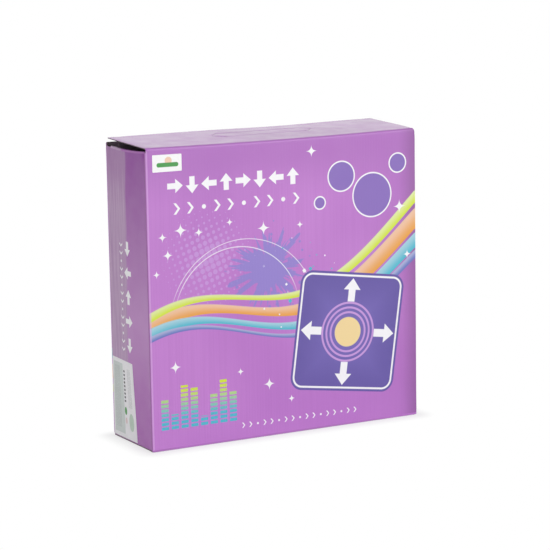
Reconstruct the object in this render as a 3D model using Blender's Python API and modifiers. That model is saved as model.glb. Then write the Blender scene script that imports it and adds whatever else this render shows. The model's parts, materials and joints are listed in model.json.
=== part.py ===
"""Carton with a folded dance mat controller inside it.

Metres, +Z up. The origin is the middle of the carton's underside. +X runs to the right of
someone who faces the printed front, and +Y runs from the front to the back.
"""
import math

import bmesh
import bpy
from mathutils import Vector

# Carton, outside sizes. Its depth follows from the folded mat that it holds
CARTON_WIDTH = 0.340
CARTON_HEIGHT = 0.334
BOARD = 0.0018             # laminated fine flute board
EDGE_ROUND = BOARD * 5 / 6  # outer radius of the upright creases

# Clearances
GAP = 0.0003               # between neighbouring pieces
SEAT = 0.0001              # under a sticker or a soldered piece

# Bottom and seam
BOTTOM_DUST_LENGTH = 0.060
GLUE_FLAP_WIDTH = 0.030
GLUE_FLAP_TAPER = 0.010

# Lid and its tuck flap
LID_AJAR = math.radians(2.2)
LID_SIDE_INSET = 0.0005
LID_REAR_INSET = 0.0022    # from the inner face of the back panel to the tuck crease
LID_CORNER = 0.003
TUCK_LENGTH = 0.028
TUCK_END_INSET = 0.012
TUCK_TILT = math.radians(12)
TUCK_CORNER = 0.012
TUCK_CREASE_GAP = 0.0007   # between the lid's underside and the root of the tuck flap

# Dust flaps under the lid
DUST_LENGTH = 0.062
DUST_TAPER = math.radians(30)
DUST_FRONT_INSET = 0.0008  # from the inner face of the front panel
DUST_REAR_INSET = 0.0070   # from the inner face of the back panel, clear of the tuck flap
DUST_CORNER = 0.006
DUST_SHARE = 0.5           # the dust flaps turn half as far as the lid
LEFT_DROOP = math.radians(18)  # how far the left one has dropped into the carton
LEFT_CREASE_DROP = 0.0016  # and how much lower its crease lies
LEFT_REAR_INSET = 0.0100   # its own room at the back, clear of the foot of the tuck flap

# Hand hole flap in the lid
CARRY_LENGTH = 0.126
CARRY_WIDTH = 0.024
CARRY_POINT = 0.011        # length of each pointed end
CARRY_SLIT = 0.0005
CARRY_SETBACK = 0.053      # from the lid's hinge to the middle of the flap

# Front sticker and side label
LABEL_THICKNESS = 0.0002
STICKER_WIDTH = 0.035
STICKER_HEIGHT = 0.0188
STICKER_LEFT = 0.0072      # from the carton's left side
STICKER_TOP = 0.0098       # from the carton's top
SIDE_LABEL_WIDTH = 0.058
SIDE_LABEL_HEIGHT = 0.089
SIDE_LABEL_MARGIN = 0.0012

# Layers of the mat, from the printed side to the side on the floor
TOP_COVER = 0.0007
CONTACT_SHEET = 0.0004
SPACER = 0.0015
CORE = 0.0026
BASE_COVER = 0.0007
BINDING = 0.0010

# How the mat is folded, in thirds across its width and then in thirds along its length
PLY_GAP = 0.0010           # between plies of the first fold
PACK_GAP = 0.0026          # between packs of the second fold
PLY_BEND_STEPS = 4
PACK_BEND_STEPS = 6
MAT_SIDE_ROOM = 0.0074
MAT_FRONT_ROOM = 0.0125    # for the paper goods
MAT_BACK_ROOM = 0.0035
HEAD_ROOM = 0.0036         # above the mat, under the pushed in hand hole flap

# Controller housing on the mat's free end
HOUSING_WIDTH = 0.078
HOUSING_DEPTH = 0.048
HOUSING_HEIGHT = 0.017
HOUSING_WALL = 0.0016
HOUSING_CORNER = 0.004
HOUSING_END_ROOM = 0.0097  # from the end of the folded mat
SPLIT_HEIGHT = 0.0085      # parting line above the housing's underside
BOSS_RADIUS = 0.0030
BOSS_INSET = 0.0065        # boss centre from the inner faces of the long and short walls
SEAT_HEIGHT = 0.0040       # top of the base's bosses
CIRCUIT_THICKNESS = 0.0016
CIRCUIT_END_ROOM = 0.0012  # from the circuit board to the inner faces of the short walls
CIRCUIT_TAIL_ROOM = 0.0011  # from its rear edge to the film tail
CIRCUIT_CORNER = 0.0016
CHIP_SIZE = 0.011
CHIP_HEIGHT = 0.0018
SCREW_RADIUS = 0.0010
SCREW_HEAD_RADIUS = 0.0020
SCREW_FACE_RADIUS = 0.0016  # where the rounding of the head ends
SCREW_HEAD_HEIGHT = 0.0014
SCREW_RECESS = 0.0018
SCREW_LENGTH = 0.0105
SCREW_SPREAD = 0.00035     # radial clearance of the shank in its hole
TAIL_SIDE_ROOM = 0.0079    # from the film tail to the bosses beside it
TAIL_THICKNESS = 0.0004
TAIL_INSET = 0.0011        # tail centre from the inner face of the rear wall
TAIL_BEND = 0.0012
TAIL_BEND_STEPS = 4
TAIL_ENTRY = 0.0037        # how far the tail goes into its socket
SOCKET_END = 0.0030        # solid end of the socket, past the tail
SOCKET_DEPTH = 0.0062
SOCKET_HEIGHT = 0.0024
SOCKET_SETBACK = 0.0012    # from the circuit board's rear edge

# Strain relief where a cord would leave the housing
GLAND_NECK_RADIUS = 0.0032
GLAND_FLANGE_RADIUS = 0.0045
GLAND_TIP_RADIUS = 0.0026
GLAND_BORE_RADIUS = 0.0017
GLAND_FLANGE = 0.0012
GLAND_LENGTH = 0.0135

# Paper goods that stand in front of the mat
LEAFLET_WIDTH = 0.148
LEAFLET_HEIGHT = 0.210
LEAF_THICKNESS = 0.00035
LEAFLET_CENTRE = -0.030
SLEEVE_ROOM = 0.0021       # between the disc's rim and the sleeve's walls
SLEEVE_WALL = 0.0004
SLEEVE_CENTRE = 0.022
DISC_RADIUS = 0.060
DISC_HOLE_RADIUS = 0.0075
DISC_THICKNESS = 0.0012

# Sizes that follow from the ones above: the mat, layer by layer and then folded
LAYERS = [
    ("mat_top_cover", TOP_COVER),
    ("upper_contact_sheet", CONTACT_SHEET),
    ("spacer_foam", SPACER),
    ("lower_contact_sheet", CONTACT_SHEET),
    ("foam_core", CORE),
    ("base_cover", BASE_COVER),
]
LAYER_PLACES = {}
layer_start = 0.0
for layer_name, layer_thickness in LAYERS:
    LAYER_PLACES[layer_name] = (layer_start, layer_start + layer_thickness)
    layer_start += layer_thickness + GAP
PLY = layer_start - GAP
PLY_PITCH = PLY + PLY_GAP
PLY_BEND = PLY + PLY_GAP / 2            # outer radius of a bend of the first fold
PACK = 3 * PLY + 2 * PLY_GAP
PACK_PITCH = PACK + PACK_GAP
PACK_BEND = PACK + PACK_GAP / 2         # outer radius of a bend of the second fold
BUNDLE_DEPTH = 3 * PACK + 2 * PACK_GAP

# The carton round it
CARTON_DEPTH = 2 * BOARD + MAT_FRONT_ROOM + BUNDLE_DEPTH + MAT_BACK_ROOM
HALF_WIDTH = CARTON_WIDTH / 2
FRONT = -CARTON_DEPTH / 2
BACK = CARTON_DEPTH / 2
WALL_INNER_X = HALF_WIDTH - BOARD
WALL_INNER_FRONT = FRONT + BOARD
WALL_INNER_BACK = BACK - BOARD
WALL_LOW = BOARD + GAP
LID_UNDERSIDE = CARTON_HEIGHT - BOARD
LONG_WALL_HIGH = LID_UNDERSIDE - GAP
DUST_UNDERSIDE = LONG_WALL_HIGH - BOARD
SIDE_WALL_HIGH = DUST_UNDERSIDE - GAP
LEFT_CREASE = LONG_WALL_HIGH - LEFT_CREASE_DROP
LEFT_ROOT = BOARD * math.tan(LEFT_DROOP)
LEFT_WALL_HIGH = LEFT_CREASE - BOARD / math.cos(LEFT_DROOP) - LEFT_ROOT - GAP
FLOOR = 3 * BOARD + 2 * GAP
CONTENTS_LOW = FLOOR + GAP
LID_DEPTH = CARTON_DEPTH - BOARD - LID_REAR_INSET

# Where the folded mat lies in it
BUNDLE_HALF_WIDTH = WALL_INNER_X - BOARD - GAP - MAT_SIDE_ROOM
BUNDLE_FRONT = WALL_INNER_FRONT + MAT_FRONT_ROOM
PUSHED_IN_LOW = LID_UNDERSIDE - CARRY_WIDTH
BUNDLE_HIGH = min(PUSHED_IN_LOW, DUST_UNDERSIDE - HOUSING_HEIGHT - GAP) - HEAD_ROOM
TUCK_LOW = CARTON_HEIGHT - TUCK_LENGTH * math.cos(TUCK_TILT)
FREE_END_HIGH = min(BUNDLE_HIGH, TUCK_LOW - HEAD_ROOM / 2)
PLY_RUN = 2 * (BUNDLE_HALF_WIDTH - PLY_BEND)
PACK_RUN = BUNDLE_HIGH - CONTENTS_LOW - 2 * PACK_BEND
BUNDLE_MIDDLE = (BUNDLE_HIGH + CONTENTS_LOW) / 2

# Inside the controller housing
HOUSING_INNER_X = HOUSING_WIDTH / 2 - HOUSING_WALL
HOUSING_INNER_Y = HOUSING_DEPTH / 2 - HOUSING_WALL
BOSS_X = HOUSING_INNER_X - BOSS_INSET
BOSS_Y = HOUSING_INNER_Y - BOSS_INSET
TAIL_HALF_WIDTH = BOSS_X - BOSS_RADIUS - TAIL_SIDE_ROOM
TAIL_Y = HOUSING_INNER_Y - TAIL_INSET


def clear_scene():
    """Empty the file that this script runs in."""
    for item in list(bpy.data.objects):
        bpy.data.objects.remove(item, do_unlink=True)


clear_scene()
PARTS = bpy.data.collections.new("dance_mat_carton")
CUTTERS = bpy.data.collections.new("cutters")
bpy.context.scene.collection.children.link(PARTS)
bpy.context.scene.collection.children.link(CUTTERS)


def linear(red, green, blue):
    """Linear colour of a screen colour given as three numbers from 0 to 255."""
    values = []
    for value in (red, green, blue):
        share = value / 255
        values.append(share / 12.92 if share <= 0.04045 else ((share + 0.055) / 1.055) ** 2.4)
    return (*values, 1.0)


def make_finish(name, colour, roughness, metallic=0.0):
    """A plain material for one kind of surface."""
    finish = bpy.data.materials.new(name)
    finish.use_nodes = True
    shader = finish.node_tree.nodes["Principled BSDF"]
    shader.inputs["Base Color"].default_value = linear(*colour)
    shader.inputs["Roughness"].default_value = roughness
    shader.inputs["Metallic"].default_value = metallic
    return finish


FINISHES = {
    "print": make_finish("printed_board", (192, 130, 205), 0.30),
    "side_print": make_finish("printed_board_side", (155, 111, 162), 0.30),
    "liner": make_finish("board_liner", (196, 190, 182), 0.85),
    "label": make_finish("label_paper", (236, 238, 238), 0.50),
    "cover": make_finish("mat_cover_film", (120, 92, 170), 0.40),
    "contact": make_finish("contact_film", (196, 200, 204), 0.35),
    "spacer": make_finish("spacer_foam", (226, 226, 220), 0.90),
    "core": make_finish("core_foam", (88, 90, 96), 0.95),
    "grip": make_finish("grip_cover", (46, 46, 50), 0.90),
    "tape": make_finish("binding_tape", (38, 36, 42), 0.85),
    "shell": make_finish("housing_plastic", (40, 40, 44), 0.45),
    "circuit": make_finish("circuit_board", (32, 96, 60), 0.40),
    "chip": make_finish("chip_resin", (18, 18, 20), 0.35),
    "socket": make_finish("socket_plastic", (232, 228, 214), 0.45),
    "steel": make_finish("screw_steel", (178, 180, 184), 0.30, 1.0),
    "boot": make_finish("gland_rubber", (24, 24, 26), 0.60),
    "paper": make_finish("leaflet_paper", (240, 238, 232), 0.70),
    "disc": make_finish("disc_plastic", (202, 206, 214), 0.15),
}


def add_part(name, data, finish, parent=None):
    """Put a mesh or a curve in the model as a named piece."""
    item = bpy.data.objects.new(name, data)
    data.materials.append(FINISHES[finish])
    PARTS.objects.link(item)
    item.parent = parent
    return item


def add_axis(name, location, rotation=(0.0, 0.0, 0.0), parent=None):
    """An empty on the axis that its children turn about."""
    axis = bpy.data.objects.new(name, None)
    axis.empty_display_size = 0.02
    axis.location = location
    axis.rotation_euler = rotation
    axis.parent = parent
    PARTS.objects.link(axis)
    return axis


def block_mesh(name, low, high):
    """A mesh block between two corners."""
    low, high = Vector(low), Vector(high)
    mesh = bpy.data.meshes.new(name)
    bm = bmesh.new()
    bmesh.ops.create_cube(bm, size=1.0)
    bmesh.ops.scale(bm, vec=high - low, verts=bm.verts)
    bmesh.ops.translate(bm, vec=(low + high) / 2, verts=bm.verts)
    bm.to_mesh(mesh)
    bm.free()
    return mesh


def add_block(name, low, high, finish, parent=None):
    """A block between two corners, in its parent's frame."""
    return add_part(name, block_mesh(name, low, high), finish, parent)


def round_edges(item, radius, steps, wanted):
    """Round the edges of a mesh whose middle point and direction pass a test."""
    bm = bmesh.new()
    bm.from_mesh(item.data)
    edges = []
    for edge in bm.edges:
        middle = (edge.verts[0].co + edge.verts[1].co) / 2
        direction = (edge.verts[1].co - edge.verts[0].co).normalized()
        if wanted(middle, direction):
            edges.append(edge)
    bmesh.ops.bevel(bm, geom=edges, offset=radius, segments=steps, profile=0.5, affect="EDGES")
    bm.to_mesh(item.data)
    bm.free()


def is_upright(direction):
    """True for an edge that runs up and down."""
    return abs(direction.z) > 0.99


def rounded_outline(corners, radius, rounded, steps=4):
    """A closed outline whose listed corners are arcs and whose other corners stay sharp."""
    points = []
    for index, corner in enumerate(corners):
        here = Vector(corner)
        if index not in rounded:
            points.append(here)
            continue
        before = (Vector(corners[index - 1]) - here).normalized()
        after = (Vector(corners[(index + 1) % len(corners)]) - here).normalized()
        half_angle = before.angle(after) / 2
        centre = here + (before + after).normalized() * (radius / math.sin(half_angle))
        start = here + before * (radius / math.tan(half_angle)) - centre
        turn = start.angle_signed(here + after * (radius / math.tan(half_angle)) - centre)
        for step in range(steps + 1):
            angle = -turn * step / steps
            cosine, sine = math.cos(angle), math.sin(angle)
            spoke = Vector((start.x * cosine - start.y * sine, start.x * sine + start.y * cosine))
            points.append(centre + spoke)
    return points


def plate_curve(name, outline, thickness, holes=()):
    """A flat plate in the local XY plane, half its thickness above and below it."""
    curve = bpy.data.curves.new(name, "CURVE")
    curve.dimensions = "2D"
    curve.fill_mode = "BOTH"
    curve.extrude = thickness / 2
    for points in (outline, *holes):
        spline = curve.splines.new("POLY")
        spline.points.add(len(points) - 1)
        for spline_point, point in zip(spline.points, points):
            spline_point.co = (point[0], point[1], 0.0, 1.0)
        spline.use_cyclic_u = True
    return curve


def add_plate(name, outline, thickness, finish, parent=None, holes=()):
    """A flat plate whose outer face lies in its parent's local XY plane."""
    item = add_part(name, plate_curve(name, outline, thickness, holes), finish, parent)
    item.location = (0.0, 0.0, -thickness / 2)
    return item


def add_cutter(name, mesh, parent=None, location=(0.0, 0.0, 0.0), rotation=(0.0, 0.0, 0.0)):
    """A guide body that other pieces are cut by or joined with."""
    item = bpy.data.objects.new(name, mesh)
    item.hide_render = True
    item.display_type = "WIRE"
    item.location = location
    item.rotation_euler = rotation
    item.parent = parent
    CUTTERS.objects.link(item)
    return item


def combine(item, other, operation):
    """Cut a piece by another body, or join it with one."""
    modifier = item.modifiers.new(f"{operation.lower()}_{other.name}", "BOOLEAN")
    modifier.operation = operation
    modifier.solver = "EXACT"
    modifier.object = other


def cylinders_mesh(name, places, radius, low, high, sides=20):
    """Upright cylinders of one size at several places."""
    mesh = bpy.data.meshes.new(name)
    bm = bmesh.new()
    for x, y in places:
        made = bmesh.ops.create_cone(
            bm, cap_ends=True, segments=sides, radius1=radius, radius2=radius, depth=high - low
        )
        bmesh.ops.translate(bm, vec=(x, y, (low + high) / 2), verts=made["verts"])
    bm.to_mesh(mesh)
    bm.free()
    return mesh


def add_turned(name, profile, finish, steps, parent=None, location=(0, 0, 0), rotation=(0, 0, 0)):
    """A turned piece about local Z, from an outline that runs down its outer side."""
    mesh = bpy.data.meshes.new(name)
    bm = bmesh.new()
    verts = [bm.verts.new((radius, 0.0, height)) for radius, height in profile]
    pairs = list(zip(verts, verts[1:]))
    if profile[0][0] > 0:
        pairs.append((verts[-1], verts[0]))
    for start, end in pairs:
        bm.edges.new((start, end))
    bm.to_mesh(mesh)
    bm.free()
    item = add_part(name, mesh, finish, parent)
    item.location = location
    item.rotation_euler = rotation
    screw = item.modifiers.new("turn", "SCREW")
    screw.steps = steps
    screw.render_steps = steps
    screw.use_merge_vertices = True
    screw.merge_threshold = 0.00001
    return item


def build_walls():
    """Four walls, the glued seam and the two labels."""
    long_walls = [("front_panel", FRONT, FRONT + BOARD), ("back_panel", BACK - BOARD, BACK)]
    for name, near, far in long_walls:
        low = (-HALF_WIDTH, near, WALL_LOW)
        wall = add_block(name, low, (HALF_WIDTH, far, LONG_WALL_HIGH), "print")
        outer = FRONT if name == "front_panel" else BACK
        round_edges(
            wall, EDGE_ROUND, 3, lambda middle, way: is_upright(way) and abs(middle.y - outer) < GAP
        )
    side_front, side_back = WALL_INNER_FRONT + GAP, WALL_INNER_BACK - GAP
    side_walls = [
        ("left_side_panel", -HALF_WIDTH, -WALL_INNER_X, LEFT_WALL_HIGH),
        ("right_side_panel", WALL_INNER_X, HALF_WIDTH, SIDE_WALL_HIGH),
    ]
    for name, near, far, top in side_walls:
        add_block(name, (near, side_front, WALL_LOW), (far, side_back, top), "side_print")

    # The glue flap turns in from the back panel and lies on the inside of the right wall
    seam = add_axis(
        "seam_face", (WALL_INNER_X - GAP, side_back, 0.0), (math.pi / 2, 0.0, math.pi / 2)
    )
    low, high = FLOOR + GAP, SIDE_WALL_HIGH - GAP
    outline = [
        (0.0, low),
        (0.0, high),
        (-GLUE_FLAP_WIDTH, high - GLUE_FLAP_TAPER),
        (-GLUE_FLAP_WIDTH, low + GLUE_FLAP_TAPER),
    ]
    add_plate("glue_flap", outline, BOARD, "liner", seam)

    left = -HALF_WIDTH + STICKER_LEFT
    top = CARTON_HEIGHT - STICKER_TOP
    add_block(
        "front_sticker",
        (left, FRONT - SEAT - LABEL_THICKNESS, top - STICKER_HEIGHT),
        (left + STICKER_WIDTH, FRONT - SEAT, top),
        "label",
    )
    label_back = side_back - SIDE_LABEL_MARGIN
    label_low = WALL_LOW + SIDE_LABEL_MARGIN
    add_block(
        "side_label",
        (-HALF_WIDTH - SEAT - LABEL_THICKNESS, label_back - SIDE_LABEL_WIDTH, label_low),
        (-HALF_WIDTH - SEAT, label_back, label_low + SIDE_LABEL_HEIGHT),
        "label",
    )


def build_bottom():
    """The glued bottom: an outer flap, an inner flap and two dust flaps, one above the other."""
    add_block(
        "bottom_outer_flap", (-HALF_WIDTH, FRONT, 0.0), (HALF_WIDTH, BACK, BOARD), "print"
    )
    inside_x = WALL_INNER_X - GAP
    near, far = WALL_INNER_FRONT + GAP, WALL_INNER_BACK - GAP
    level = BOARD + GAP
    add_block(
        "bottom_inner_flap", (-inside_x, near, level), (inside_x, far, level + BOARD), "liner"
    )
    level += BOARD + GAP
    for name, side in (("bottom_dust_flap_left", -1), ("bottom_dust_flap_right", 1)):
        edges = sorted((side * inside_x, side * (inside_x - BOTTOM_DUST_LENGTH)))
        low = (edges[0], near, level)
        add_block(name, low, (edges[1], far, level + BOARD), "liner")


def hand_hole(slit):
    """Outline of the hand hole flap, or with a slit the outline of the hole that it lies in."""
    half_length = CARRY_LENGTH / 2
    half_width = CARRY_WIDTH / 2
    slope = math.atan2(half_width, CARRY_POINT)
    point = CARRY_POINT * (half_width + slit) / half_width
    tip = half_length + slit / math.sin(slope)
    side = half_width + slit
    return [
        (-tip, 0.0),
        (-tip + point, -side),
        (tip - point, -side),
        (tip, 0.0),
        (tip - point, side),
        (-tip + point, side),
    ]


def build_lid():
    """Lid, tuck flap and hand hole flap, each on its own crease."""
    hinge = add_axis("lid_hinge", (0.0, FRONT, CARTON_HEIGHT), (LID_AJAR, 0.0, 0.0))
    half = HALF_WIDTH - LID_SIDE_INSET
    corners = [(-half, 0.0), (half, 0.0), (half, LID_DEPTH), (-half, LID_DEPTH)]
    hole = [(x, y + CARRY_SETBACK) for x, y in hand_hole(CARRY_SLIT)]
    outline = rounded_outline(corners, LID_CORNER, (2, 3))
    add_plate("lid_panel", outline, BOARD, "print", hinge, [hole])

    crease = add_axis(
        "tuck_fold", (0.0, LID_DEPTH, 0.0), (-math.pi / 2 - TUCK_TILT, 0.0, 0.0), hinge
    )
    root = BOARD + TUCK_CREASE_GAP
    tuck_half = half - TUCK_END_INSET
    corners = [(-tuck_half, root), (tuck_half, root), (tuck_half, TUCK_LENGTH),
               (-tuck_half, TUCK_LENGTH)]
    outline = rounded_outline(corners, TUCK_CORNER, (2, 3), 6)
    add_plate("lid_tuck_flap", outline, BOARD, "print", crease)

    # The hand hole flap turns about the lower edge of its front side
    fold = add_axis("carry_fold", (0.0, CARRY_SETBACK - CARRY_WIDTH / 2, -BOARD), parent=hinge)
    outline = [(x, y + CARRY_WIDTH / 2) for x, y in hand_hole(0.0)]
    flap = add_plate("carry_hole_flap", outline, BOARD, "print", fold)
    flap.location.z = BOARD / 2


def build_dust_flaps():
    """The two dust flaps, on creases along the tops of the side walls."""
    front = WALL_INNER_FRONT + DUST_FRONT_INSET
    slope = DUST_LENGTH * math.tan(DUST_TAPER)
    flaps = [
        ("left", -1, -LEFT_DROOP, LEFT_CREASE, LEFT_ROOT, LEFT_REAR_INSET),
        ("right", 1, LID_AJAR * DUST_SHARE, LONG_WALL_HIGH, 0.0, DUST_REAR_INSET),
    ]
    for name, side, rise, level, root, rear_inset in flaps:
        back = WALL_INNER_BACK - rear_inset
        crease = add_axis(
            f"dust_{name}_fold", (side * HALF_WIDTH, 0.0, level), (0, side * rise, 0)
        )
        corners = [
            (-side * root, front),
            (-side * DUST_LENGTH, front + slope),
            (-side * DUST_LENGTH, back),
            (-side * root, back),
        ]
        outline = rounded_outline(corners, DUST_CORNER, (1, 2))
        add_plate(f"dust_flap_{name}", outline, BOARD, "liner", crease)


def fold(distance, offset, run, thickness, gap):
    """Fold a flat strip in thirds.

    distance runs along the strip and offset through it. The result is the place along the
    folded strip, from its middle, and the place across the stack of thirds.
    """
    pitch = thickness + gap
    bend_length = math.pi * pitch / 2
    leg = 0
    while leg < 2 and distance > run + bend_length:
        distance -= run + bend_length
        leg += 1
    forward = 1 if leg != 1 else -1
    depth = offset if leg != 1 else thickness - offset
    if distance <= run or leg == 2:
        return forward * (distance - run / 2), leg * pitch + depth
    centre = leg * pitch + thickness + gap / 2
    radius = thickness + gap / 2 - depth
    angle = (distance - run) / (pitch / 2)
    return forward * (run / 2 + radius * math.sin(angle)), centre - radius * math.cos(angle)


def fold_stations(run, pitch, steps, first, last):
    """Distances along a strip at which its mesh needs points, from one free end to the other."""
    bend_length = math.pi * pitch / 2
    stations = [-first]
    for leg in range(2):
        start = leg * (run + bend_length) + run
        stations += [start + bend_length * step / steps for step in range(steps + 1)]
    stations.append(3 * run + 2 * bend_length + last)
    return stations


def folded_point(across, along, offset):
    """World place of a point of the flat mat."""
    x, depth = fold(across, offset, PLY_RUN, PLY, PLY_GAP)
    z, y = fold(along, depth, PACK_RUN, PACK, PACK_GAP)
    return Vector((x, BUNDLE_FRONT + y, BUNDLE_MIDDLE + z))


def folded_layer(name, columns, rows, low, high, is_open=None):
    """One layer of the mat: a flat grid, given its thickness and then folded."""
    mesh = bpy.data.meshes.new(name)
    bm = bmesh.new()
    wide, tall = len(columns) - 1, len(rows) - 1
    bmesh.ops.create_grid(bm, x_segments=wide, y_segments=tall, size=1.0)
    for vert in bm.verts:
        column = round((vert.co.x + 1) / 2 * wide)
        row = round((vert.co.y + 1) / 2 * tall)
        vert.co = (columns[column], rows[row], low)
    if is_open:
        unwanted = [face for face in bm.faces if is_open(face.calc_center_median())]
        bmesh.ops.delete(bm, geom=unwanted, context="FACES")
    raised = bmesh.ops.extrude_face_region(bm, geom=list(bm.faces), use_keep_orig=True)
    for part in raised["geom"]:
        if isinstance(part, bmesh.types.BMVert):
            part.co.z = high
    for vert in bm.verts:
        vert.co = folded_point(*vert.co)
    bmesh.ops.recalc_face_normals(bm, faces=bm.faces)
    bm.to_mesh(mesh)
    bm.free()
    return mesh


def build_mat(tail_centre):
    """The six layers of the mat and the tape round its edge."""
    finishes = ["cover", "contact", "spacer", "contact", "core", "grip"]
    inset = BINDING + GAP
    free_top = FREE_END_HIGH - BUNDLE_MIDDLE - PACK_RUN / 2
    columns = fold_stations(
        PLY_RUN, PLY_PITCH, PLY_BEND_STEPS, PLY_BEND - inset, PLY_BEND - inset
    )
    rows = fold_stations(
        PACK_RUN, PACK_PITCH, PACK_BEND_STEPS, PACK_BEND - inset, free_top - inset
    )
    for (name, _), finish in zip(LAYERS, finishes):
        low, high = LAYER_PLACES[name]
        add_part(name, folded_layer(name, columns, rows, low, high), finish)

    # The tape is a frame of the same stations, open where the film tail leaves the mat
    columns[0] -= inset
    columns[-1] += inset
    rows[0] -= inset
    rows[-1] += inset
    left, right = columns[0] + BINDING, columns[-1] - BINDING
    bottom, top = rows[0] + BINDING, rows[-1] - BINDING
    tail = PLY_RUN + math.pi * PLY_PITCH / 2 + PLY_RUN / 2 - tail_centre
    tail_start = tail - TAIL_HALF_WIDTH - GAP
    tail_end = tail + TAIL_HALF_WIDTH + GAP
    columns = sorted(columns + [left, right, tail_start, tail_end])
    rows = sorted(rows + [bottom, top])

    def is_open(centre):
        inside = left < centre.x < right and bottom < centre.y < top
        at_tail = tail_start < centre.x < tail_end and centre.y > top
        return inside or at_tail

    add_part("edge_binding", folded_layer("edge_binding", columns, rows, 0.0, PLY, is_open), "tape")


def housing_shell(name, low, high, pocket_low, pocket_high, place):
    """Half of the housing: a rounded block with a pocket."""
    half_x, half_y = HOUSING_WIDTH / 2, HOUSING_DEPTH / 2
    shell = add_block(name, (-half_x, -half_y, low), (half_x, half_y, high), "shell", place)
    round_edges(shell, HOUSING_CORNER, 4, lambda middle, way: is_upright(way))
    pocket = add_cutter(
        f"{name}_pocket",
        block_mesh(
            f"{name}_pocket",
            (-HOUSING_INNER_X, -HOUSING_INNER_Y, pocket_low),
            (HOUSING_INNER_X, HOUSING_INNER_Y, pocket_high),
        ),
        place,
    )
    round_edges(pocket, HOUSING_CORNER - HOUSING_WALL, 4, lambda middle, way: is_upright(way))
    combine(shell, pocket, "DIFFERENCE")
    return shell


def build_housing(place, tail_low):
    """Two shells, the circuit board, its socket, the film tail, the gland and four screws."""
    posts = [(side_x * BOSS_X, side_y * BOSS_Y) for side_x in (-1, 1) for side_y in (-1, 1)]
    circuit_low = SEAT_HEIGHT + GAP
    circuit_high = circuit_low + CIRCUIT_THICKNESS
    screw_top = SCREW_RECESS + SCREW_LENGTH
    overlap = HOUSING_WALL / 2
    beyond = HOUSING_HEIGHT

    base = housing_shell(
        "housing_base", 0.0, SPLIT_HEIGHT - GAP / 2, HOUSING_WALL, beyond, place
    )
    bosses = cylinders_mesh("base_bosses", posts, BOSS_RADIUS, overlap, SEAT_HEIGHT)
    combine(base, add_cutter("base_bosses", bosses, place), "UNION")
    holes_mesh = cylinders_mesh(
        "screw_holes", posts, SCREW_RADIUS + SCREW_SPREAD, -beyond, beyond
    )
    screw_holes = add_cutter("screw_holes", holes_mesh, place)
    combine(base, screw_holes, "DIFFERENCE")
    recess_radius = SCREW_HEAD_RADIUS + GAP
    recesses = cylinders_mesh("base_recesses", posts, recess_radius, -beyond, SCREW_RECESS)
    combine(base, add_cutter("base_recesses", recesses, place), "DIFFERENCE")
    slot_half = TAIL_THICKNESS / 2 + GAP
    slot = block_mesh(
        "tail_slot",
        (-TAIL_HALF_WIDTH - GAP, TAIL_Y - slot_half, -beyond),
        (TAIL_HALF_WIDTH + GAP, TAIL_Y + slot_half, SEAT_HEIGHT),
    )
    combine(base, add_cutter("tail_slot", slot, place), "DIFFERENCE")

    inside_high = HOUSING_HEIGHT - HOUSING_WALL
    cover = housing_shell(
        "housing_cover", SPLIT_HEIGHT + GAP / 2, HOUSING_HEIGHT, -beyond, inside_high, place
    )
    round_edges(
        cover, HOUSING_WALL / 2, 2, lambda middle, way: middle.z > HOUSING_HEIGHT - GAP
    )
    post_bodies = cylinders_mesh(
        "cover_posts", posts, BOSS_RADIUS, circuit_high + GAP, inside_high + overlap
    )
    combine(cover, add_cutter("cover_posts", post_bodies, place), "UNION")
    pilots = cylinders_mesh("cover_pilots", posts, SCREW_RADIUS + GAP, 0.0, screw_top + GAP)
    combine(cover, add_cutter("cover_pilots", pilots, place), "DIFFERENCE")

    # Where the gland passes the front wall, half in each shell
    mouth = add_cutter(
        "gland_mouth",
        cylinders_mesh("gland_mouth", [(0.0, 0.0)], GLAND_NECK_RADIUS + GAP, 0.0, beyond),
        place,
        (0.0, -HOUSING_INNER_Y + HOUSING_WALL, SPLIT_HEIGHT),
        (math.pi / 2, 0.0, 0.0),
    )
    combine(base, mouth, "DIFFERENCE")
    combine(cover, mouth, "DIFFERENCE")

    build_circuit(place, screw_holes, circuit_low, circuit_high, tail_low)
    build_gland(place)
    for number, (x, y) in enumerate(posts, 1):
        build_screw(f"housing_screw_{number}", place, x, y)


def build_circuit(place, screw_holes, low, high, tail_low):
    """The circuit board on the bosses, with its chip and the socket of the film tail."""
    half_x = HOUSING_INNER_X - CIRCUIT_END_ROOM
    half_y = TAIL_Y - TAIL_THICKNESS / 2 - CIRCUIT_TAIL_ROOM
    circuit = add_block(
        "circuit_board", (-half_x, -half_y, low), (half_x, half_y, high), "circuit", place
    )
    round_edges(circuit, CIRCUIT_CORNER, 2, lambda middle, way: is_upright(way))
    combine(circuit, screw_holes, "DIFFERENCE")
    part_low = high + SEAT
    chip = add_block(
        "controller_chip",
        (-CHIP_SIZE / 2, -CHIP_SIZE, part_low),
        (CHIP_SIZE / 2, 0.0, part_low + CHIP_HEIGHT),
        "chip",
        place,
    )
    round_edges(chip, CHIP_HEIGHT / 4, 1, lambda middle, way: middle.z > part_low + SEAT)

    socket_back = half_y - SOCKET_SETBACK
    socket_half = TAIL_HALF_WIDTH + SOCKET_END
    socket = add_block(
        "tail_connector",
        (-socket_half, socket_back - SOCKET_DEPTH, part_low),
        (socket_half, socket_back, part_low + SOCKET_HEIGHT),
        "socket",
        place,
    )
    tail_high = part_low + SOCKET_HEIGHT / 2
    tail_end = socket_back - TAIL_ENTRY
    mouth_half = TAIL_THICKNESS / 2 + GAP
    opening = block_mesh(
        "socket_opening",
        (-TAIL_HALF_WIDTH - GAP, tail_end - GAP, tail_high - mouth_half),
        (TAIL_HALF_WIDTH + GAP, socket_back + SOCKET_DEPTH, tail_high + mouth_half),
    )
    combine(socket, add_cutter("socket_opening", opening, place), "DIFFERENCE")
    build_tail(place, tail_low, tail_high, tail_end)


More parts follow.
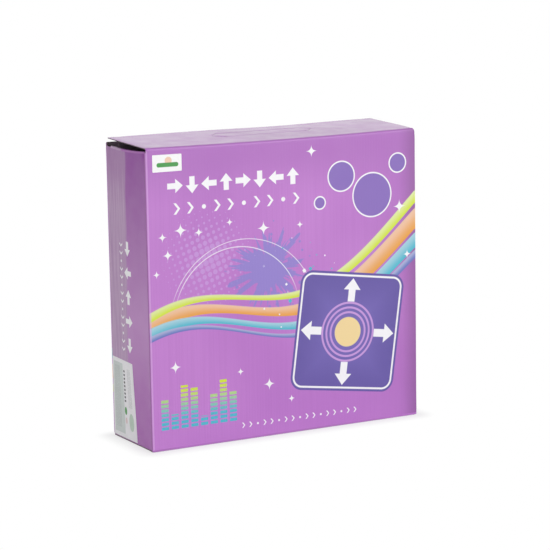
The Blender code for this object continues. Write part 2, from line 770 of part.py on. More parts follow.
def build_tail(place, low, high, end):
    """The flat tail: up from the mat, over a bend and forward into the socket."""
    route = [(TAIL_Y, low)]
    bend_y, bend_z = TAIL_Y - TAIL_BEND, high - TAIL_BEND
    for step in range(TAIL_BEND_STEPS + 1):
        angle = math.pi / 2 * step / TAIL_BEND_STEPS
        route.append((bend_y + TAIL_BEND * math.cos(angle), bend_z + TAIL_BEND * math.sin(angle)))
    route.append((end, high))
    mesh = bpy.data.meshes.new("film_tail")
    bm = bmesh.new()
    verts = [bm.verts.new((-TAIL_HALF_WIDTH, y, z)) for y, z in route]
    edges = [bm.edges.new(pair) for pair in zip(verts, verts[1:])]
    swept = bmesh.ops.extrude_edge_only(bm, edges=edges)
    moved = [part for part in swept["geom"] if isinstance(part, bmesh.types.BMVert)]
    bmesh.ops.translate(bm, vec=(2 * TAIL_HALF_WIDTH, 0.0, 0.0), verts=moved)
    bm.to_mesh(mesh)
    bm.free()
    tail = add_part("film_tail", mesh, "contact", place)
    solid = tail.modifiers.new("thickness", "SOLIDIFY")
    solid.thickness = TAIL_THICKNESS
    solid.offset = 0.0


def build_gland(place):
    """Strain relief held in the front wall between two flanges, tapered outside."""
    wall = HOUSING_WALL + 2 * GAP
    profile = [
        (GLAND_FLANGE_RADIUS, GLAND_FLANGE),
        (GLAND_FLANGE_RADIUS, 0.0),
        (GLAND_NECK_RADIUS, 0.0),
        (GLAND_NECK_RADIUS, -wall),
        (GLAND_FLANGE_RADIUS, -wall),
        (GLAND_FLANGE_RADIUS, -wall - GLAND_FLANGE),
        (GLAND_NECK_RADIUS, -wall - GLAND_FLANGE),
        (GLAND_TIP_RADIUS, -wall - GLAND_LENGTH),
        (GLAND_BORE_RADIUS, -wall - GLAND_LENGTH),
        (GLAND_BORE_RADIUS, GLAND_FLANGE),
    ]
    location = (0.0, -HOUSING_INNER_Y + GAP, SPLIT_HEIGHT)
    add_turned("cable_gland", profile, "boot", 20, place, location, (-math.pi / 2, 0.0, 0.0))


def build_screw(name, place, x, y):
    """A pan head screw, driven up from under the housing."""
    head_low = SCREW_RECESS - SCREW_HEAD_HEIGHT
    profile = [
        (0.0, SCREW_RECESS + SCREW_LENGTH),
        (SCREW_RADIUS, SCREW_RECESS + SCREW_LENGTH - SCREW_RADIUS),
        (SCREW_RADIUS, SCREW_RECESS - SEAT),
        (SCREW_HEAD_RADIUS, SCREW_RECESS - SEAT),
        (SCREW_FACE_RADIUS, head_low - SEAT),
        (0.0, head_low - SEAT),
    ]
    add_turned(name, profile, "steel", 12, place, (x, y, 0.0))


def build_paper_goods():
    """The leaflet against the front of the mat, then the sleeve with its disc."""
    leaf_back = BUNDLE_FRONT - GAP
    leaf_front = leaf_back - 2 * LEAF_THICKNESS - GAP
    left, right = LEAFLET_CENTRE - LEAFLET_WIDTH / 2, LEAFLET_CENTRE + LEAFLET_WIDTH / 2
    spine = left + LEAF_THICKNESS
    outline = [
        (left, leaf_front),
        (right, leaf_front),
        (right, leaf_front + LEAF_THICKNESS),
        (spine, leaf_front + LEAF_THICKNESS),
        (spine, leaf_back - LEAF_THICKNESS),
        (right, leaf_back - LEAF_THICKNESS),
        (right, leaf_back),
        (left, leaf_back),
    ]
    top = add_axis("leaflet_top", (0.0, 0.0, CONTENTS_LOW + LEAFLET_HEIGHT))
    add_plate("instruction_leaflet", outline, LEAFLET_HEIGHT, "paper", top)

    pocket = DISC_THICKNESS + 2 * GAP
    sleeve_back = leaf_front - GAP
    sleeve_front = sleeve_back - pocket - 2 * SLEEVE_WALL
    half = DISC_RADIUS + SLEEVE_ROOM + SLEEVE_WALL
    sleeve_low = (SLEEVE_CENTRE - half, sleeve_front, CONTENTS_LOW)
    sleeve_high = (SLEEVE_CENTRE + half, sleeve_back, CONTENTS_LOW + 2 * half)
    sleeve = add_block("disc_sleeve", sleeve_low, sleeve_high, "paper")
    pocket_mesh = block_mesh(
        "sleeve_pocket",
        (sleeve_low[0] + SLEEVE_WALL, sleeve_front + SLEEVE_WALL, CONTENTS_LOW + SLEEVE_WALL),
        (sleeve_high[0] - SLEEVE_WALL, sleeve_back - SLEEVE_WALL, sleeve_high[2] + SLEEVE_WALL),
    )
    combine(sleeve, add_cutter("sleeve_pocket", pocket_mesh), "DIFFERENCE")
    half_disc = DISC_THICKNESS / 2
    profile = [
        (DISC_RADIUS, half_disc),
        (DISC_RADIUS, -half_disc),
        (DISC_HOLE_RADIUS, -half_disc),
        (DISC_HOLE_RADIUS, half_disc),
    ]
    disc_place = (
        SLEEVE_CENTRE,
        sleeve_back - SLEEVE_WALL - pocket / 2,
        CONTENTS_LOW + SLEEVE_WALL + GAP + DISC_RADIUS,
    )
    add_turned("software_disc", profile, "disc", 40, None, disc_place, (math.pi / 2, 0.0, 0.0))


def build_contents():
    """The folded mat with its controller housing, and what is packed with it."""
    tail_offset = sum(LAYER_PLACES["lower_contact_sheet"]) / 2
    tail_y = BUNDLE_FRONT + 2 * PACK_PITCH + PLY_PITCH + PLY - tail_offset
    housing_x = BUNDLE_HALF_WIDTH - HOUSING_END_ROOM - HOUSING_WIDTH / 2
    housing_low = BUNDLE_HIGH + GAP
    build_mat(housing_x)
    place = add_axis("housing_place", (housing_x, tail_y - TAIL_Y, housing_low))
    tail_low = FREE_END_HIGH - BINDING - housing_low
    build_housing(place, tail_low)
    build_paper_goods()


build_walls()
build_bottom()
build_lid()
build_dust_flaps()
build_contents()
for part in PARTS.objects:
    if part.type == "MESH":
        part.data.shade_smooth()
        part.data.set_sharp_from_angle(angle=math.radians(40))
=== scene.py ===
import json
import math

import bmesh
import bpy
from mathutils import Matrix, Vector, kdtree, noise


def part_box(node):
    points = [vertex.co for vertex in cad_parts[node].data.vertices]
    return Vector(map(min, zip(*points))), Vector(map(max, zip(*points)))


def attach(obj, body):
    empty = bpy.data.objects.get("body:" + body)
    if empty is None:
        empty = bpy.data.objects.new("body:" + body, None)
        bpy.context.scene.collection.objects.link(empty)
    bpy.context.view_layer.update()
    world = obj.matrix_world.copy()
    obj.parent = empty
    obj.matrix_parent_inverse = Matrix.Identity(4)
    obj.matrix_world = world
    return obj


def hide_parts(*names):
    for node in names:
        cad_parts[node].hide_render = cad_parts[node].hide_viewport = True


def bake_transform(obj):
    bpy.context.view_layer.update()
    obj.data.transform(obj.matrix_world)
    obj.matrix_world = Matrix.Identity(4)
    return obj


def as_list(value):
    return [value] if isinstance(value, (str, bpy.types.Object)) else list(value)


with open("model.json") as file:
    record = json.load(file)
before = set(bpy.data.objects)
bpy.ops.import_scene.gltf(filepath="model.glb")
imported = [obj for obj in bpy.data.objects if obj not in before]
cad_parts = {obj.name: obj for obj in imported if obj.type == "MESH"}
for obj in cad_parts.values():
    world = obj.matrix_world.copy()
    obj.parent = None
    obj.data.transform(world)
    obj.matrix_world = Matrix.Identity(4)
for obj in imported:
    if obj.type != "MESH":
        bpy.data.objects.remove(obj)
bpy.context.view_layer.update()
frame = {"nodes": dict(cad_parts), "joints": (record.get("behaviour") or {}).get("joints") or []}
print("frame loaded:", len(frame["nodes"]), "nodes")

mm = 0.001
joints = {joint["name"]: joint for joint in frame["joints"]}
jointPlace = {name: Vector(joint["pos_m"]) for name, joint in joints.items()}

# Places that every board piece is worked out from
frontLow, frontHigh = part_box("front_panel")
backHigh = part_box("back_panel")[1]
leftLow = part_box("left_side_panel")[0]
outerFlapLow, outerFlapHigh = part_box("bottom_outer_flap")
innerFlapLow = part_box("bottom_inner_flap")[0]
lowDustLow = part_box("bottom_dust_flap_left")[0]
lidHinge = jointPlace["lid_hinge"]
tuckHinge = jointPlace["tuck_fold"]
halfWidth = frontHigh.x
frontY = frontLow.y
backY = backHigh.y
board = outerFlapHigh.z - outerFlapLow.z
cartonTop = lidHinge.z

cameraSet = {
    "azimuth": -28.694,
    "elevation": 9.631,
    "roll": -0.976,
    "distance": 2.6037,
    "lens": 150.29,
    "target": (0.01298, 0.0, 0.17241),
}


def makeCamera():
    azimuth = math.radians(cameraSet["azimuth"])
    elevation = math.radians(cameraSet["elevation"])
    roll = math.radians(cameraSet["roll"])
    back = Vector((
        math.sin(azimuth) * math.cos(elevation),
        -math.cos(azimuth) * math.cos(elevation),
        math.sin(elevation),
    ))
    flatRight = (-back).cross(Vector((0, 0, 1))).normalized()
    flatUp = flatRight.cross(-back)
    right = math.cos(roll) * flatRight + math.sin(roll) * flatUp
    up = -math.sin(roll) * flatRight + math.cos(roll) * flatUp
    data = bpy.data.cameras.new("photoCamera")
    data.lens = cameraSet["lens"]
    data.sensor_width = 36
    camera = bpy.data.objects.new("photoCamera", data)
    bpy.context.scene.collection.objects.link(camera)
    place = Vector(cameraSet["target"]) + back * cameraSet["distance"]
    camera.matrix_world = Matrix.Translation(place) @ Matrix((right, up, back)).transposed().to_4x4()
    bpy.context.scene.camera = camera


makeCamera()


def ramp(value, start, end):
    # 0 before start, 1 after end, and smooth between them
    share = min(1.0, max(0.0, (value - start) / (end - start)))
    return share * share * (3 - 2 * share)


# How the carton has settled and been knocked
wearSet = {
    "topSag": 1.6 * mm,
    "sagDown": 45 * mm,
    "sagBack": 60 * mm,
    "cornerDrop": 4.4 * mm,
    "cornerWide": 3.6 * mm,
    "cornerDown": 26 * mm,
    "cornerBack": 28 * mm,
    "rightPull": 0.1 * mm,
    "rightPullWide": 13 * mm,
    "leftPull": 0.1 * mm,
    "leftPullWide": 6 * mm,
    "pullBack": 20 * mm,
    "dip": 1.1 * mm,
    "dipMiddle": 42 * mm,
    "dipWide": 62 * mm,
    "waver": 0.35 * mm,
    "lidWaver": 0.4,
    "waverSize": 85 * mm,
    "waverFade": 20 * mm,
}


def waverAt(x, y, seed):
    size = wearSet["waverSize"]
    return wearSet["waver"] * (0.5 + 0.5 * noise.noise(Vector((x / size, y / size, seed))))


def settle(point):
    x, y, z = point
    across = min(1.0, abs(x) / halfWidth)
    atTop = ramp(z, cartonTop - wearSet["sagDown"], cartonTop)
    atFront = ramp(y, frontY + wearSet["sagBack"], frontY)
    moved = Vector(point)
    moved.z -= wearSet["topSag"] * (1 - across ** 2) * atTop * atFront

    # A shallow dip behind the hand hole
    away = (x - wearSet["dipMiddle"]) / wearSet["dipWide"]
    atBack = ramp(y, 0.0, backY - 4 * board)
    moved.z -= wearSet["dip"] * math.exp(-away ** 2) * atTop * atBack

    # The knocked corner at the top right of the front
    wide = wearSet["cornerWide"]
    share = min(0.96, max(0.0, (x - halfWidth + wide) / wide))
    drop = wearSet["cornerDrop"] * (1 - math.sqrt(1 - share ** 2))
    drop *= ramp(z, cartonTop - wearSet["cornerDown"], cartonTop - 2 * board)
    moved.z -= drop * ramp(y, frontY + wearSet["cornerBack"], frontY)

    # The front turns in a little towards both upright creases
    nearFront = 1 - ramp(y, frontY, frontY + wearSet["pullBack"])
    for side, pull, width in (
        (1, wearSet["rightPull"], wearSet["rightPullWide"]),
        (-1, wearSet["leftPull"], wearSet["leftPullWide"]),
    ):
        share = min(1.0, max(0.0, (side * x - halfWidth + width) / width))
        moved.y += pull * share ** 2 * nearFront

    # Boards are never quite flat
    fade = wearSet["waverFade"]
    middle = ramp(min(z, cartonTop - z), 0.0, 30 * mm)
    if z > cartonTop - board * 2:
        moved.z -= (
            wearSet["lidWaver"] * waverAt(x, y, 1.0)
            * ramp(backY - y, 0.0, fade) * ramp(y - frontY, 0.0, fade)
        )
    if y < frontY + 2 * board:
        moved.y += waverAt(x, z, 2.0) * middle
    if y > backY - 2 * board:
        moved.y -= waverAt(x, z, 3.0) * middle
    if abs(x) > halfWidth - 2 * board and abs(y) < backY - 2 * board:
        inward = waverAt(y, z, 4.0 + across) * middle * ramp(backY - abs(y), 0.0, fade)
        moved.x -= math.copysign(inward, x)
    return moved


# Laminated board: an outer liner, a fluted medium and an inner liner
boardSet = {
    "liner": 0.35 * mm,
    "medium": 0.22 * mm,
    "pitch": 3.5 * mm,
    "flutePoints": 8,
    "crushReach": 1.8 * mm,
    "crushKeep": 0.5,
    "edgeRows": (0.4 * mm, 1.2 * mm),
    "corner": 2.4 * mm,
    "cornerTight": 0.5,
    "bend": 3.0 * mm,
    "bendFade": 8.0 * mm,
    "innerWeight": 2.5,
    "creaseRows": 10,
    "stepGap": 0.03 * mm,
    "touch": 0.1 * mm,
}
bend = boardSet["bend"]
corner = boardSet["corner"]
stepGap = boardSet["stepGap"]
touch = boardSet["touch"]


def roundEdge(radius, aside):
    # How high a circle's edge is over its middle, at a place aside from it
    return math.sqrt(max(0.0, radius ** 2 - aside ** 2))


def stations(low, high, step, extra=()):
    # Places about one step apart, closer beside both ends
    count = max(1, round((high - low) / step))
    places = {low + (high - low) * index / count for index in range(count + 1)}
    for margin in boardSet["edgeRows"]:
        places |= {low + margin, high - margin}
    ordered = []
    for place in sorted(places | set(extra)):
        if low <= place <= high and (not ordered or place - ordered[-1] > 0.01 * mm):
            ordered.append(place)
    return ordered


def rowPlan(count, closeLow=True, closeHigh=True):
    plan = [(index / count, 0.0) for index in range(count + 1)]
    for margin in boardSet["edgeRows"]:
        plan += [(0.0, margin)] * closeLow + [(1.0, -margin)] * closeHigh
    return sorted(plan)


def rowPlaces(low, high, plan):
    span = high - low
    squeeze = min(1.0, span / (4 * boardSet["edgeRows"][-1]))
    return [low + share * span + offset * squeeze for share, offset in plan]


def flatSheet(columns, strips, plan, depths, isCut):
    # One closed sheet of the flat board: points (along, up, depth), faces with a side, rim distances
    bm = bmesh.new()
    for lowAt, highAt in strips:
        grid = []
        for u in columns:
            grid.append([bm.verts.new((u, v, 0.0)) for v in rowPlaces(lowAt(u), highAt(u), plan)])
        for near, far in zip(grid, grid[1:]):
            for row in range(len(plan) - 1):
                bm.faces.new((near[row], far[row], far[row + 1], near[row + 1]))
    bmesh.ops.remove_doubles(bm, verts=bm.verts, dist=0.001 * mm)
    cutPoints = []
    for edge in bm.edges:
        if not edge.is_boundary:
            continue
        start, end = edge.verts[0].co.copy(), edge.verts[1].co.copy()
        count = max(1, int((end - start).length / (0.4 * mm)))
        if isCut((start + end) / 2):
            cutPoints += [start.lerp(end, index / count) for index in range(count + 1)]
    tree = kdtree.KDTree(len(cutPoints))
    for index, point in enumerate(cutPoints):
        tree.insert(point, index)
    tree.balance()
    raised = bmesh.ops.extrude_face_region(bm, geom=list(bm.faces), use_keep_orig=True)
    inner = {part for part in raised["geom"] if isinstance(part, bmesh.types.BMVert)}
    bm.verts.index_update()
    points, rims = [], []
    for vert in bm.verts:
        reach = tree.find(vert.co)[2] if cutPoints else 1.0
        rims.append(reach)
        keep = boardSet["crushKeep"]
        keep += (1 - keep) * ramp(reach, 0.0, boardSet["crushReach"])
        depth = depths(vert.co.x)[1 if vert in inner else 0]
        points.append(Vector((vert.co.x, vert.co.y, board / 2 + (depth - board / 2) * keep)))
    faces = []
    for face in bm.faces:
        sides = {vert in inner for vert in face.verts}
        side = 2 if len(sides) == 2 else int(True in sides)
        faces.append(([vert.index for vert in face.verts], side))
    bm.free()
    return points, faces, rims


def linkPiece(name, mesh):
    piece = bpy.data.objects.new(name, mesh)
    bpy.context.scene.collection.objects.link(piece)
    return piece


def makePiece(name, points, faces, flats, materials, slots=None, rims=None):
    # A mesh piece with its flat places and rim distances, in millimetres, kept on its points
    mesh = bpy.data.meshes.new(name)
    mesh.from_pydata(points, [], faces)
    bm = bmesh.new()
    bm.from_mesh(mesh)
    for face, slot in zip(bm.faces, slots or [0] * len(faces)):
        face.material_index = slot
        face.smooth = True
    bmesh.ops.recalc_face_normals(bm, faces=bm.faces)
    bm.to_mesh(mesh)
    bm.free()
    flat = mesh.attributes.new("flat", "FLOAT_VECTOR", "POINT")
    flat.data.foreach_set("vector", [value / mm for place in flats for value in place])
    rim = mesh.attributes.new("rim", "FLOAT", "POINT")
    rim.data.foreach_set("value", [distance / mm for distance in rims or [10 * mm] * len(flats)])
    mesh.set_sharp_from_angle(angle=math.radians(38))
    for material in materials:
        mesh.materials.append(material)
    return linkPiece(name, mesh)


def standFor(piece, node, slotName, body="carton"):
    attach(piece, body)
    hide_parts(node)
    return piece


def makeBoard(name, columns, strips, rows, place, isCut, materials, plain=None, fluteRows=None):
    # Outer liner, medium and inner liner. plain is the shape before creases round the corners
    liner = boardSet["liner"]
    swing = board / 2 - liner - boardSet["medium"] / 2
    half = boardSet["medium"] / 2
    pitch = boardSet["pitch"]

    def mediumDepths(u):
        centre = board / 2 + swing * math.cos(2 * math.pi * u / pitch)
        return centre - half, centre + half

    low, high = columns[0], columns[-1]
    fluteStep = pitch / boardSet["flutePoints"]
    count = round((high - low) / fluteStep)
    fluteColumns = sorted(
        {low + (high - low) * index / count for index in range(count + 1)} | set(columns)
    )
    sheets = [
        (columns, rows, lambda u: (0.0, liner), (0, 3, 2)),
        (fluteColumns, fluteRows or rows, mediumDepths, (3, 3, 2)),
        (columns, rows, lambda u: (board - liner, board), (3, 1, 2)),
    ]
    flats, faces, slots, rims = [], [], [], []
    for sheetColumns, plan, depths, sheetSlots in sheets:
        start = len(flats)
        points, sheetFaces, sheetRims = flatSheet(sheetColumns, strips, plan, depths, isCut)
        flats += points
        rims += sheetRims
        for corners, side in sheetFaces:
            faces.append([start + index for index in corners])
            slots.append(sheetSlots[side])
    shape = plain or (lambda u, v, t: settle(place(u, v, t)))
    points = [shape(*flat) for flat in flats]
    return makePiece(name, points, faces, flats, materials, slots, rims), flats


def makePanel(name, node, slotName, *plan, body="carton", fluteRows=None):
    # plan holds a board's columns, strips, rows, place, cut test and materials
    standFor(makeBoard(name, *plan, fluteRows=fluteRows)[0], node, slotName, body)


def between(low, high):
    return [(lambda u: low, lambda u: high)]


def makeCrease(
    name, columns, plain, place, isCut, materials, start, end, span=(0.0, bend),
    rows=boardSet["creaseRows"],
):
    # The blend is set on the plain crease, whose two ends lie square to it; the wear moves it after
    plan = rowPlan(rows, False, False)
    piece, flats = makeBoard(name, columns, between(*span), plan, place, isCut, materials, plain)
    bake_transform(piece)
    for vert, flat in zip(piece.data.vertices, flats):
        vert.co = settle(place(*flat))


def creasePoint(start, middle, end, share, depth):
    # A soft bend from one board to the next round their meeting corner
    weight = 1 + (boardSet["innerWeight"] - 1) * depth / board
    low = (1 - share) ** 2
    centre = 2 * weight * share * (1 - share)
    high = share ** 2
    return (start * low + middle * centre + end * high) / (low + centre + high)


def mitre(v, t, crease, away):
    # Beside a crease the inner side of a board stops short by its own depth
    return away * t * ramp(abs(v - crease), bend + boardSet["bendFade"], bend)


# Materials. Nodes are made in the tree at work, and their outputs are reckoned with like numbers
work = {"tree": None}


def operator(kind, isSwapped=False):
    def apply(*values):
        return maths(kind, *(values[::-1] if isSwapped else values))
    return apply


class Value:
    def __init__(self, socket):
        self.socket = socket

    __add__, __radd__ = operator("ADD"), operator("ADD", True)
    __sub__, __rsub__ = operator("SUBTRACT"), operator("SUBTRACT", True)
    __mul__, __rmul__ = operator("MULTIPLY"), operator("MULTIPLY", True)
    __truediv__, __rtruediv__ = operator("DIVIDE"), operator("DIVIDE", True)
    __pow__, __mod__, __abs__ = operator("POWER"), operator("MODULO"), operator("ABSOLUTE")
    __gt__, __lt__ = operator("GREATER_THAN"), operator("LESS_THAN")


def feed(value, socket):
    if isinstance(value, Value):
        work["tree"].links.new(value.socket, socket)
    else:
        socket.default_value = value


def addNode(kind, values=None, output=0, **settings):
    # Makes a node and gives one of its outputs, or all of them
    made = work["tree"].nodes.new("ShaderNode" + kind)
    for key, value in settings.items():
        setattr(made, key, value)
    for key, value in (values or {}).items():
        feed(value, made.inputs[key])
    if output is None:
        return [Value(socket) for socket in made.outputs]
    return Value(made.outputs[output])


def isPlace(value):
    return isinstance(value, Value) and value.socket.type == "VECTOR"


def maths(kind, *values, output=0, **settings):
    # Reckons with places where one of the values is a place
    node = "VectorMath" if any(map(isPlace, values)) else "Math"
    return addNode(node, dict(enumerate(values)), output, operation=kind, **settings)


def largest(first, second):
    return maths("MAXIMUM", first, second)


def smallest(first, second):
    return maths("MINIMUM", first, second)


def timesPlus(first, second, third):
    return maths("MULTIPLY_ADD", first, second, third)


def floor(value):
    return maths("FLOOR", value)


def fraction(value):
    return maths("FRACTION" if isPlace(value) else "FRACT", value)


def length(place):
    return maths("LENGTH", place, output=1)


def scaled(place, share):
    return addNode("VectorMath", {0: place, "Scale": share}, operation="SCALE")


def split(place):
    return addNode("SeparateXYZ", {0: place}, None)


def together(x, y, z=0.0):
    return addNode("CombineXYZ", {0: x, 1: y, 2: z})


def paint(under, over, mask):
    return addNode("Mix", {0: mask, 6: under, 7: over}, 2, data_type="RGBA")


def fromTo(value, low, high, newLow=0.0, newHigh=1.0, smooth=True):
    values = {0: value, 1: low, 2: high, 3: newLow, 4: newHigh}
    return addNode("MapRange", values, interpolation_type="SMOOTHSTEP" if smooth else "LINEAR")


def inside(distance, soft=0.35):
    # 1 where a distance is below nothing, in millimetres
    return fromTo(distance, -soft, soft, 1.0, 0.0)


def noiseAt(place, scale, detail=2.0, roughness=0.5):
    values = {"Vector": place, "Scale": scale, "Detail": detail, "Roughness": roughness}
    return addNode("TexNoise", values)


def varied(noise, middle, reach):
    # A roughness that a noise moves both ways from its middle
    return fromTo(noise, 0.3, 0.7, middle - reach, middle + reach)


def wave(distance, pitch):
    return maths("SINE", distance * (2 * math.pi / pitch))


def tint(red, green, blue):
    # A screen colour from 0 to 255 as a linear one
    values = []
    for value in (red, green, blue):
        share = value / 255
        values.append(share / 12.92 if share <= 0.04045 else ((share + 0.055) / 1.055) ** 2.4)
    return *values, 1.0


flatten = (1.0, 1.0, 0.0)
cellMiddle = (0.5, 0.5, 0.0)


def ringShape(place, radius, width):
    # Distance to a ring, or to a disc where the width is twice the radius
    return [abs(length(place * flatten) - radius) - width * 0.5]


def boxShape(place, halfWide, halfTall, turn):
    # Distance to a box with round corners
    away = abs(place) - together(halfWide, halfTall) + together(turn, turn)
    x, y, _ = split(away)
    outside = length(largest(away * flatten, (0.0, 0.0, 0.0)))
    return [outside + smallest(largest(x, y), 0.0) - turn]


def arrowShape(place, size, shaft):
    # Distance to an arrow that points along +X from -Size to +Size
    x, y, _ = split(place)
    x, y = x / size, abs(y / size)
    head = largest(y - (1.0 - x) * 0.85, 0.05 - x)
    ends = largest(-0.95 - x, x - 0.2)
    return [smallest(head, largest(y - shaft, ends)) * size]


def chevronShape(place, size, width):
    x, y, _ = split(place)
    x, y = x / size, abs(y / size)
    return [largest(abs(timesPlus(y, 0.8, x - 0.4)) - width, y - 1.0) * size]


def sparkleShape(place, size):
    # A four pointed star
    x, y, _ = split(abs(place))
    return [fromTo((x / size) ** 0.5 + (y / size) ** 0.5, 0.93, 1.03, 1.0, 0.0)]


def ribbonShape(place, level, slope, swing, run, phase, offset, width):
    # Distance to a band that waves across the print
    x, y, _ = split(place)
    angle = timesPlus(x / run, 2 * math.pi, phase)
    height = timesPlus(x, slope, timesPlus(maths("SINE", angle), swing, level))
    away = y - timesPlus(offset, timesPlus(x, 0.0028, 1.0), height)
    half = width * timesPlus(maths("COSINE", angle), 0.25, 0.55)
    return [abs(away) - half, away / half]


def halftoneShape(place, pitch, reach):
    # Dots on a grid that shrink away from the middle
    away = length((fraction(scaled(place, 1.0 / pitch)) - cellMiddle) * flatten)
    radius = fromTo(length(place * flatten) / reach, 0.15, 1.0, 0.46, 0.0, smooth=False)
    return [fromTo(away - radius, -0.05, 0.05, 1.0, 0.0)]


def splashShape(place, radius):
    # A burst of paint: a blob with uneven rays, and drops round it
    flat = place * flatten
    far = length(flat)
    rays = noiseAt(maths("NORMALIZE", flat), 5.0, 2.0, 0.6)
    reach = timesPlus(fromTo(rays, 0.35, 0.7), 0.9, 0.15) + noiseAt(flat, 0.05, 2.0) * 0.7
    size = fromTo(far / radius, 0.8, 1.7, 0.3, 0.0)
    drop = addNode("TexVoronoi", {"Vector": flat, "Scale": 0.11}) - size
    return [largest(inside(far - reach * radius), fromTo(drop, -0.04, 0.04, 1.0, 0.0))]


def confettiShape(place, pitch, reach):
    # Small squares strewn round the middle. Pick is each square's own number
    flat = place * flatten
    values = {"Vector": flat, "Scale": 1.0 / pitch}
    distance, colour = addNode("TexVoronoi", values, None, distance="CHEBYCHEV")[:2]
    share, pick, _ = split(colour)
    size = fromTo(length(flat) / reach, 0.2, 1.0, 0.26, 0.0) * share
    return [fromTo(distance - size, -0.03, 0.03, 1.0, 0.0), pick]


def grainShape(place, pitch, flutes, clouds):
    # Flutes that telegraph through the print, and the liner's own grain
    wave = maths("COSINE", split(place)[0] / pitch * (2 * math.pi))
    cloud = noiseAt(place, 0.045, 3.0)
    height = timesPlus(noiseAt(place, 1.1), 0.22, wave * (flutes * noiseAt(place, 0.012, 1.0)))
    return [timesPlus(cloud, clouds, height), cloud]


def rubbedShape(place, rim, reach, amount):
    # Where folds and cut edges have lost their ink
    near = fromTo(rim / reach, 0.0, 1.0, 1.0, 0.0)
    rough = fromTo(noiseAt(place, 0.25, 4.0, 0.65), 0.46, 0.62)
    return [maths("MULTIPLY", near * rough, amount, use_clamp=True)]


def makeGroup(name, shape, inputs, outputs=("Distance",)):
    tree = bpy.data.node_groups.new(name, "ShaderNodeTree")
    tree.interface.new_socket("Place", in_out="INPUT", socket_type="NodeSocketVector")
    for label, value in inputs.items():
        socket = tree.interface.new_socket(label, in_out="INPUT", socket_type="NodeSocketFloat")
        socket.default_value = value
    for label in outputs:
        tree.interface.new_socket(label, in_out="OUTPUT", socket_type="NodeSocketFloat")
    work["tree"] = tree
    sources = tree.nodes.new("NodeGroupInput").outputs[:len(inputs) + 1]
    results = shape(*map(Value, sources))
    for value, socket in zip(results, tree.nodes.new("NodeGroupOutput").inputs):
        feed(value, socket)
    return tree


groups = {
    "ring": makeGroup("ringDistance", ringShape, {"Radius": 10.0, "Width": 2.0}),
    "box": makeGroup(
        "roundedBoxDistance", boxShape, {"Half Width": 10.0, "Half Height": 10.0, "Corner": 2.0}
    ),
    "arrow": makeGroup("arrowDistance", arrowShape, {"Size": 10.0, "Shaft": 0.33}),
    "chevron": makeGroup("chevronDistance", chevronShape, {"Size": 5.0, "Width": 0.25}),
    "sparkle": makeGroup("sparkleMask", sparkleShape, {"Size": 8.0}, ["Mask"]),
    "ribbon": makeGroup(
        "ribbonDistance", ribbonShape,
        {"Level": 165.0, "Slope": 0.35, "Swing": 35.0, "Length": 420.0, "Phase": 3.94, "Offset": 0.0,
         "Width": 8.0},
        ["Distance", "Across"],
    ),
    "halftone": makeGroup("halftoneMask", halftoneShape, {"Pitch": 6.0, "Reach": 60.0}, ["Mask"]),
    "splash": makeGroup("splashMask", splashShape, {"Radius": 40.0}, ["Mask"]),
    "confetti": makeGroup(
        "confettiMask", confettiShape, {"Pitch": 8.0, "Reach": 80.0}, ["Mask", "Pick"]
    ),
    "grain": makeGroup(
        "boardGrain", grainShape, {"Pitch": 3.5, "Flutes": 0.5, "Clouds": 1.6}, ["Height", "Cloud"]
    ),
    "rubbed": makeGroup(
        "rubbedEdge", rubbedShape, {"Rim": 10.0, "Reach": 2.0, "Amount": 0.5}, ["Mask"]
    ),
}


def useGroup(name, *values, **named):
    # What a group gives for its inputs, in their order or by name
    inputs = {**dict(enumerate(values)), **named}
    outputs = addNode("Group", inputs, None, node_tree=groups[name])
    return outputs if len(outputs) > 1 else outputs[0]


inks = {
    "orchid": tint(186, 112, 201),
    "orchidDeep": tint(170, 98, 186),
    "orchidPale": tint(196, 124, 209),
    "lid": tint(178, 110, 191),
    "violet": tint(114, 96, 182),
    "violetDeep": tint(92, 74, 160),
    "blue": tint(92, 112, 190),
    "periwinkle": tint(136, 126, 206),
    "teal": tint(68, 184, 206),
    "lime": tint(212, 230, 40),
    "orange": tint(236, 160, 56),
    "cream": tint(246, 218, 156),
    "pink": tint(200, 152, 220),
    "white": tint(250, 249, 252),
    "rub": tint(222, 214, 220),
}


def motifAt(place, centre, turn=0.0):
    values = {
        "Vector": place, "Location": (*centre, 0.0), "Rotation": (0.0, 0.0, math.radians(turn))
    }
    return addNode("Mapping", values, vector_type="TEXTURE")


def repeated(place, start, pitch, count):
    # Cells in a row: the place inside each cell, its number and a mask of the whole row
    x, y, _ = split(place)
    share = (x - start[0]) / pitch
    local = together((fraction(share) - 0.5) * pitch, y - start[1])
    return local, floor(share), (share > 0.0) * (share < float(count))


def turned(place, angle):
    return addNode("VectorRotate", {"Vector": place, "Angle": angle}, rotation_type="Z_AXIS")


def arrowRow(place, colour, start, pitch, count, size):
    # Each arrow is turned a quarter from the one before it
    local, number, row = repeated(place, start, pitch, count)
    away = useGroup("arrow", turned(local, number * (math.pi / 2)), size)
    return paint(colour, inks["white"], inside(away) * row)


def chevronRow(place, colour, start, pitch, count, size):
    # Two chevrons and a dot in turn
    local, number, row = repeated(place, start, pitch, count)
    bent = useGroup("chevron", local, size)
    dot = useGroup("ring", local, size * 0.2, size * 0.4)
    both = addNode("Mix", {0: number % 3.0 > 1.5, 2: bent, 3: dot}, data_type="FLOAT")
    return paint(colour, inks["white"], inside(both) * row)


def ribbons(place, colour, bands, **values):
    for ink, offset, width in bands:
        away, across = useGroup("ribbon", place, Offset=offset, Width=width, **values)
        shade = fromTo(across, -1.0, 1.0, 0.0, 0.35)
        colour = paint(colour, paint(inks[ink], inks["white"], shade), inside(away, 0.5))
    return colour


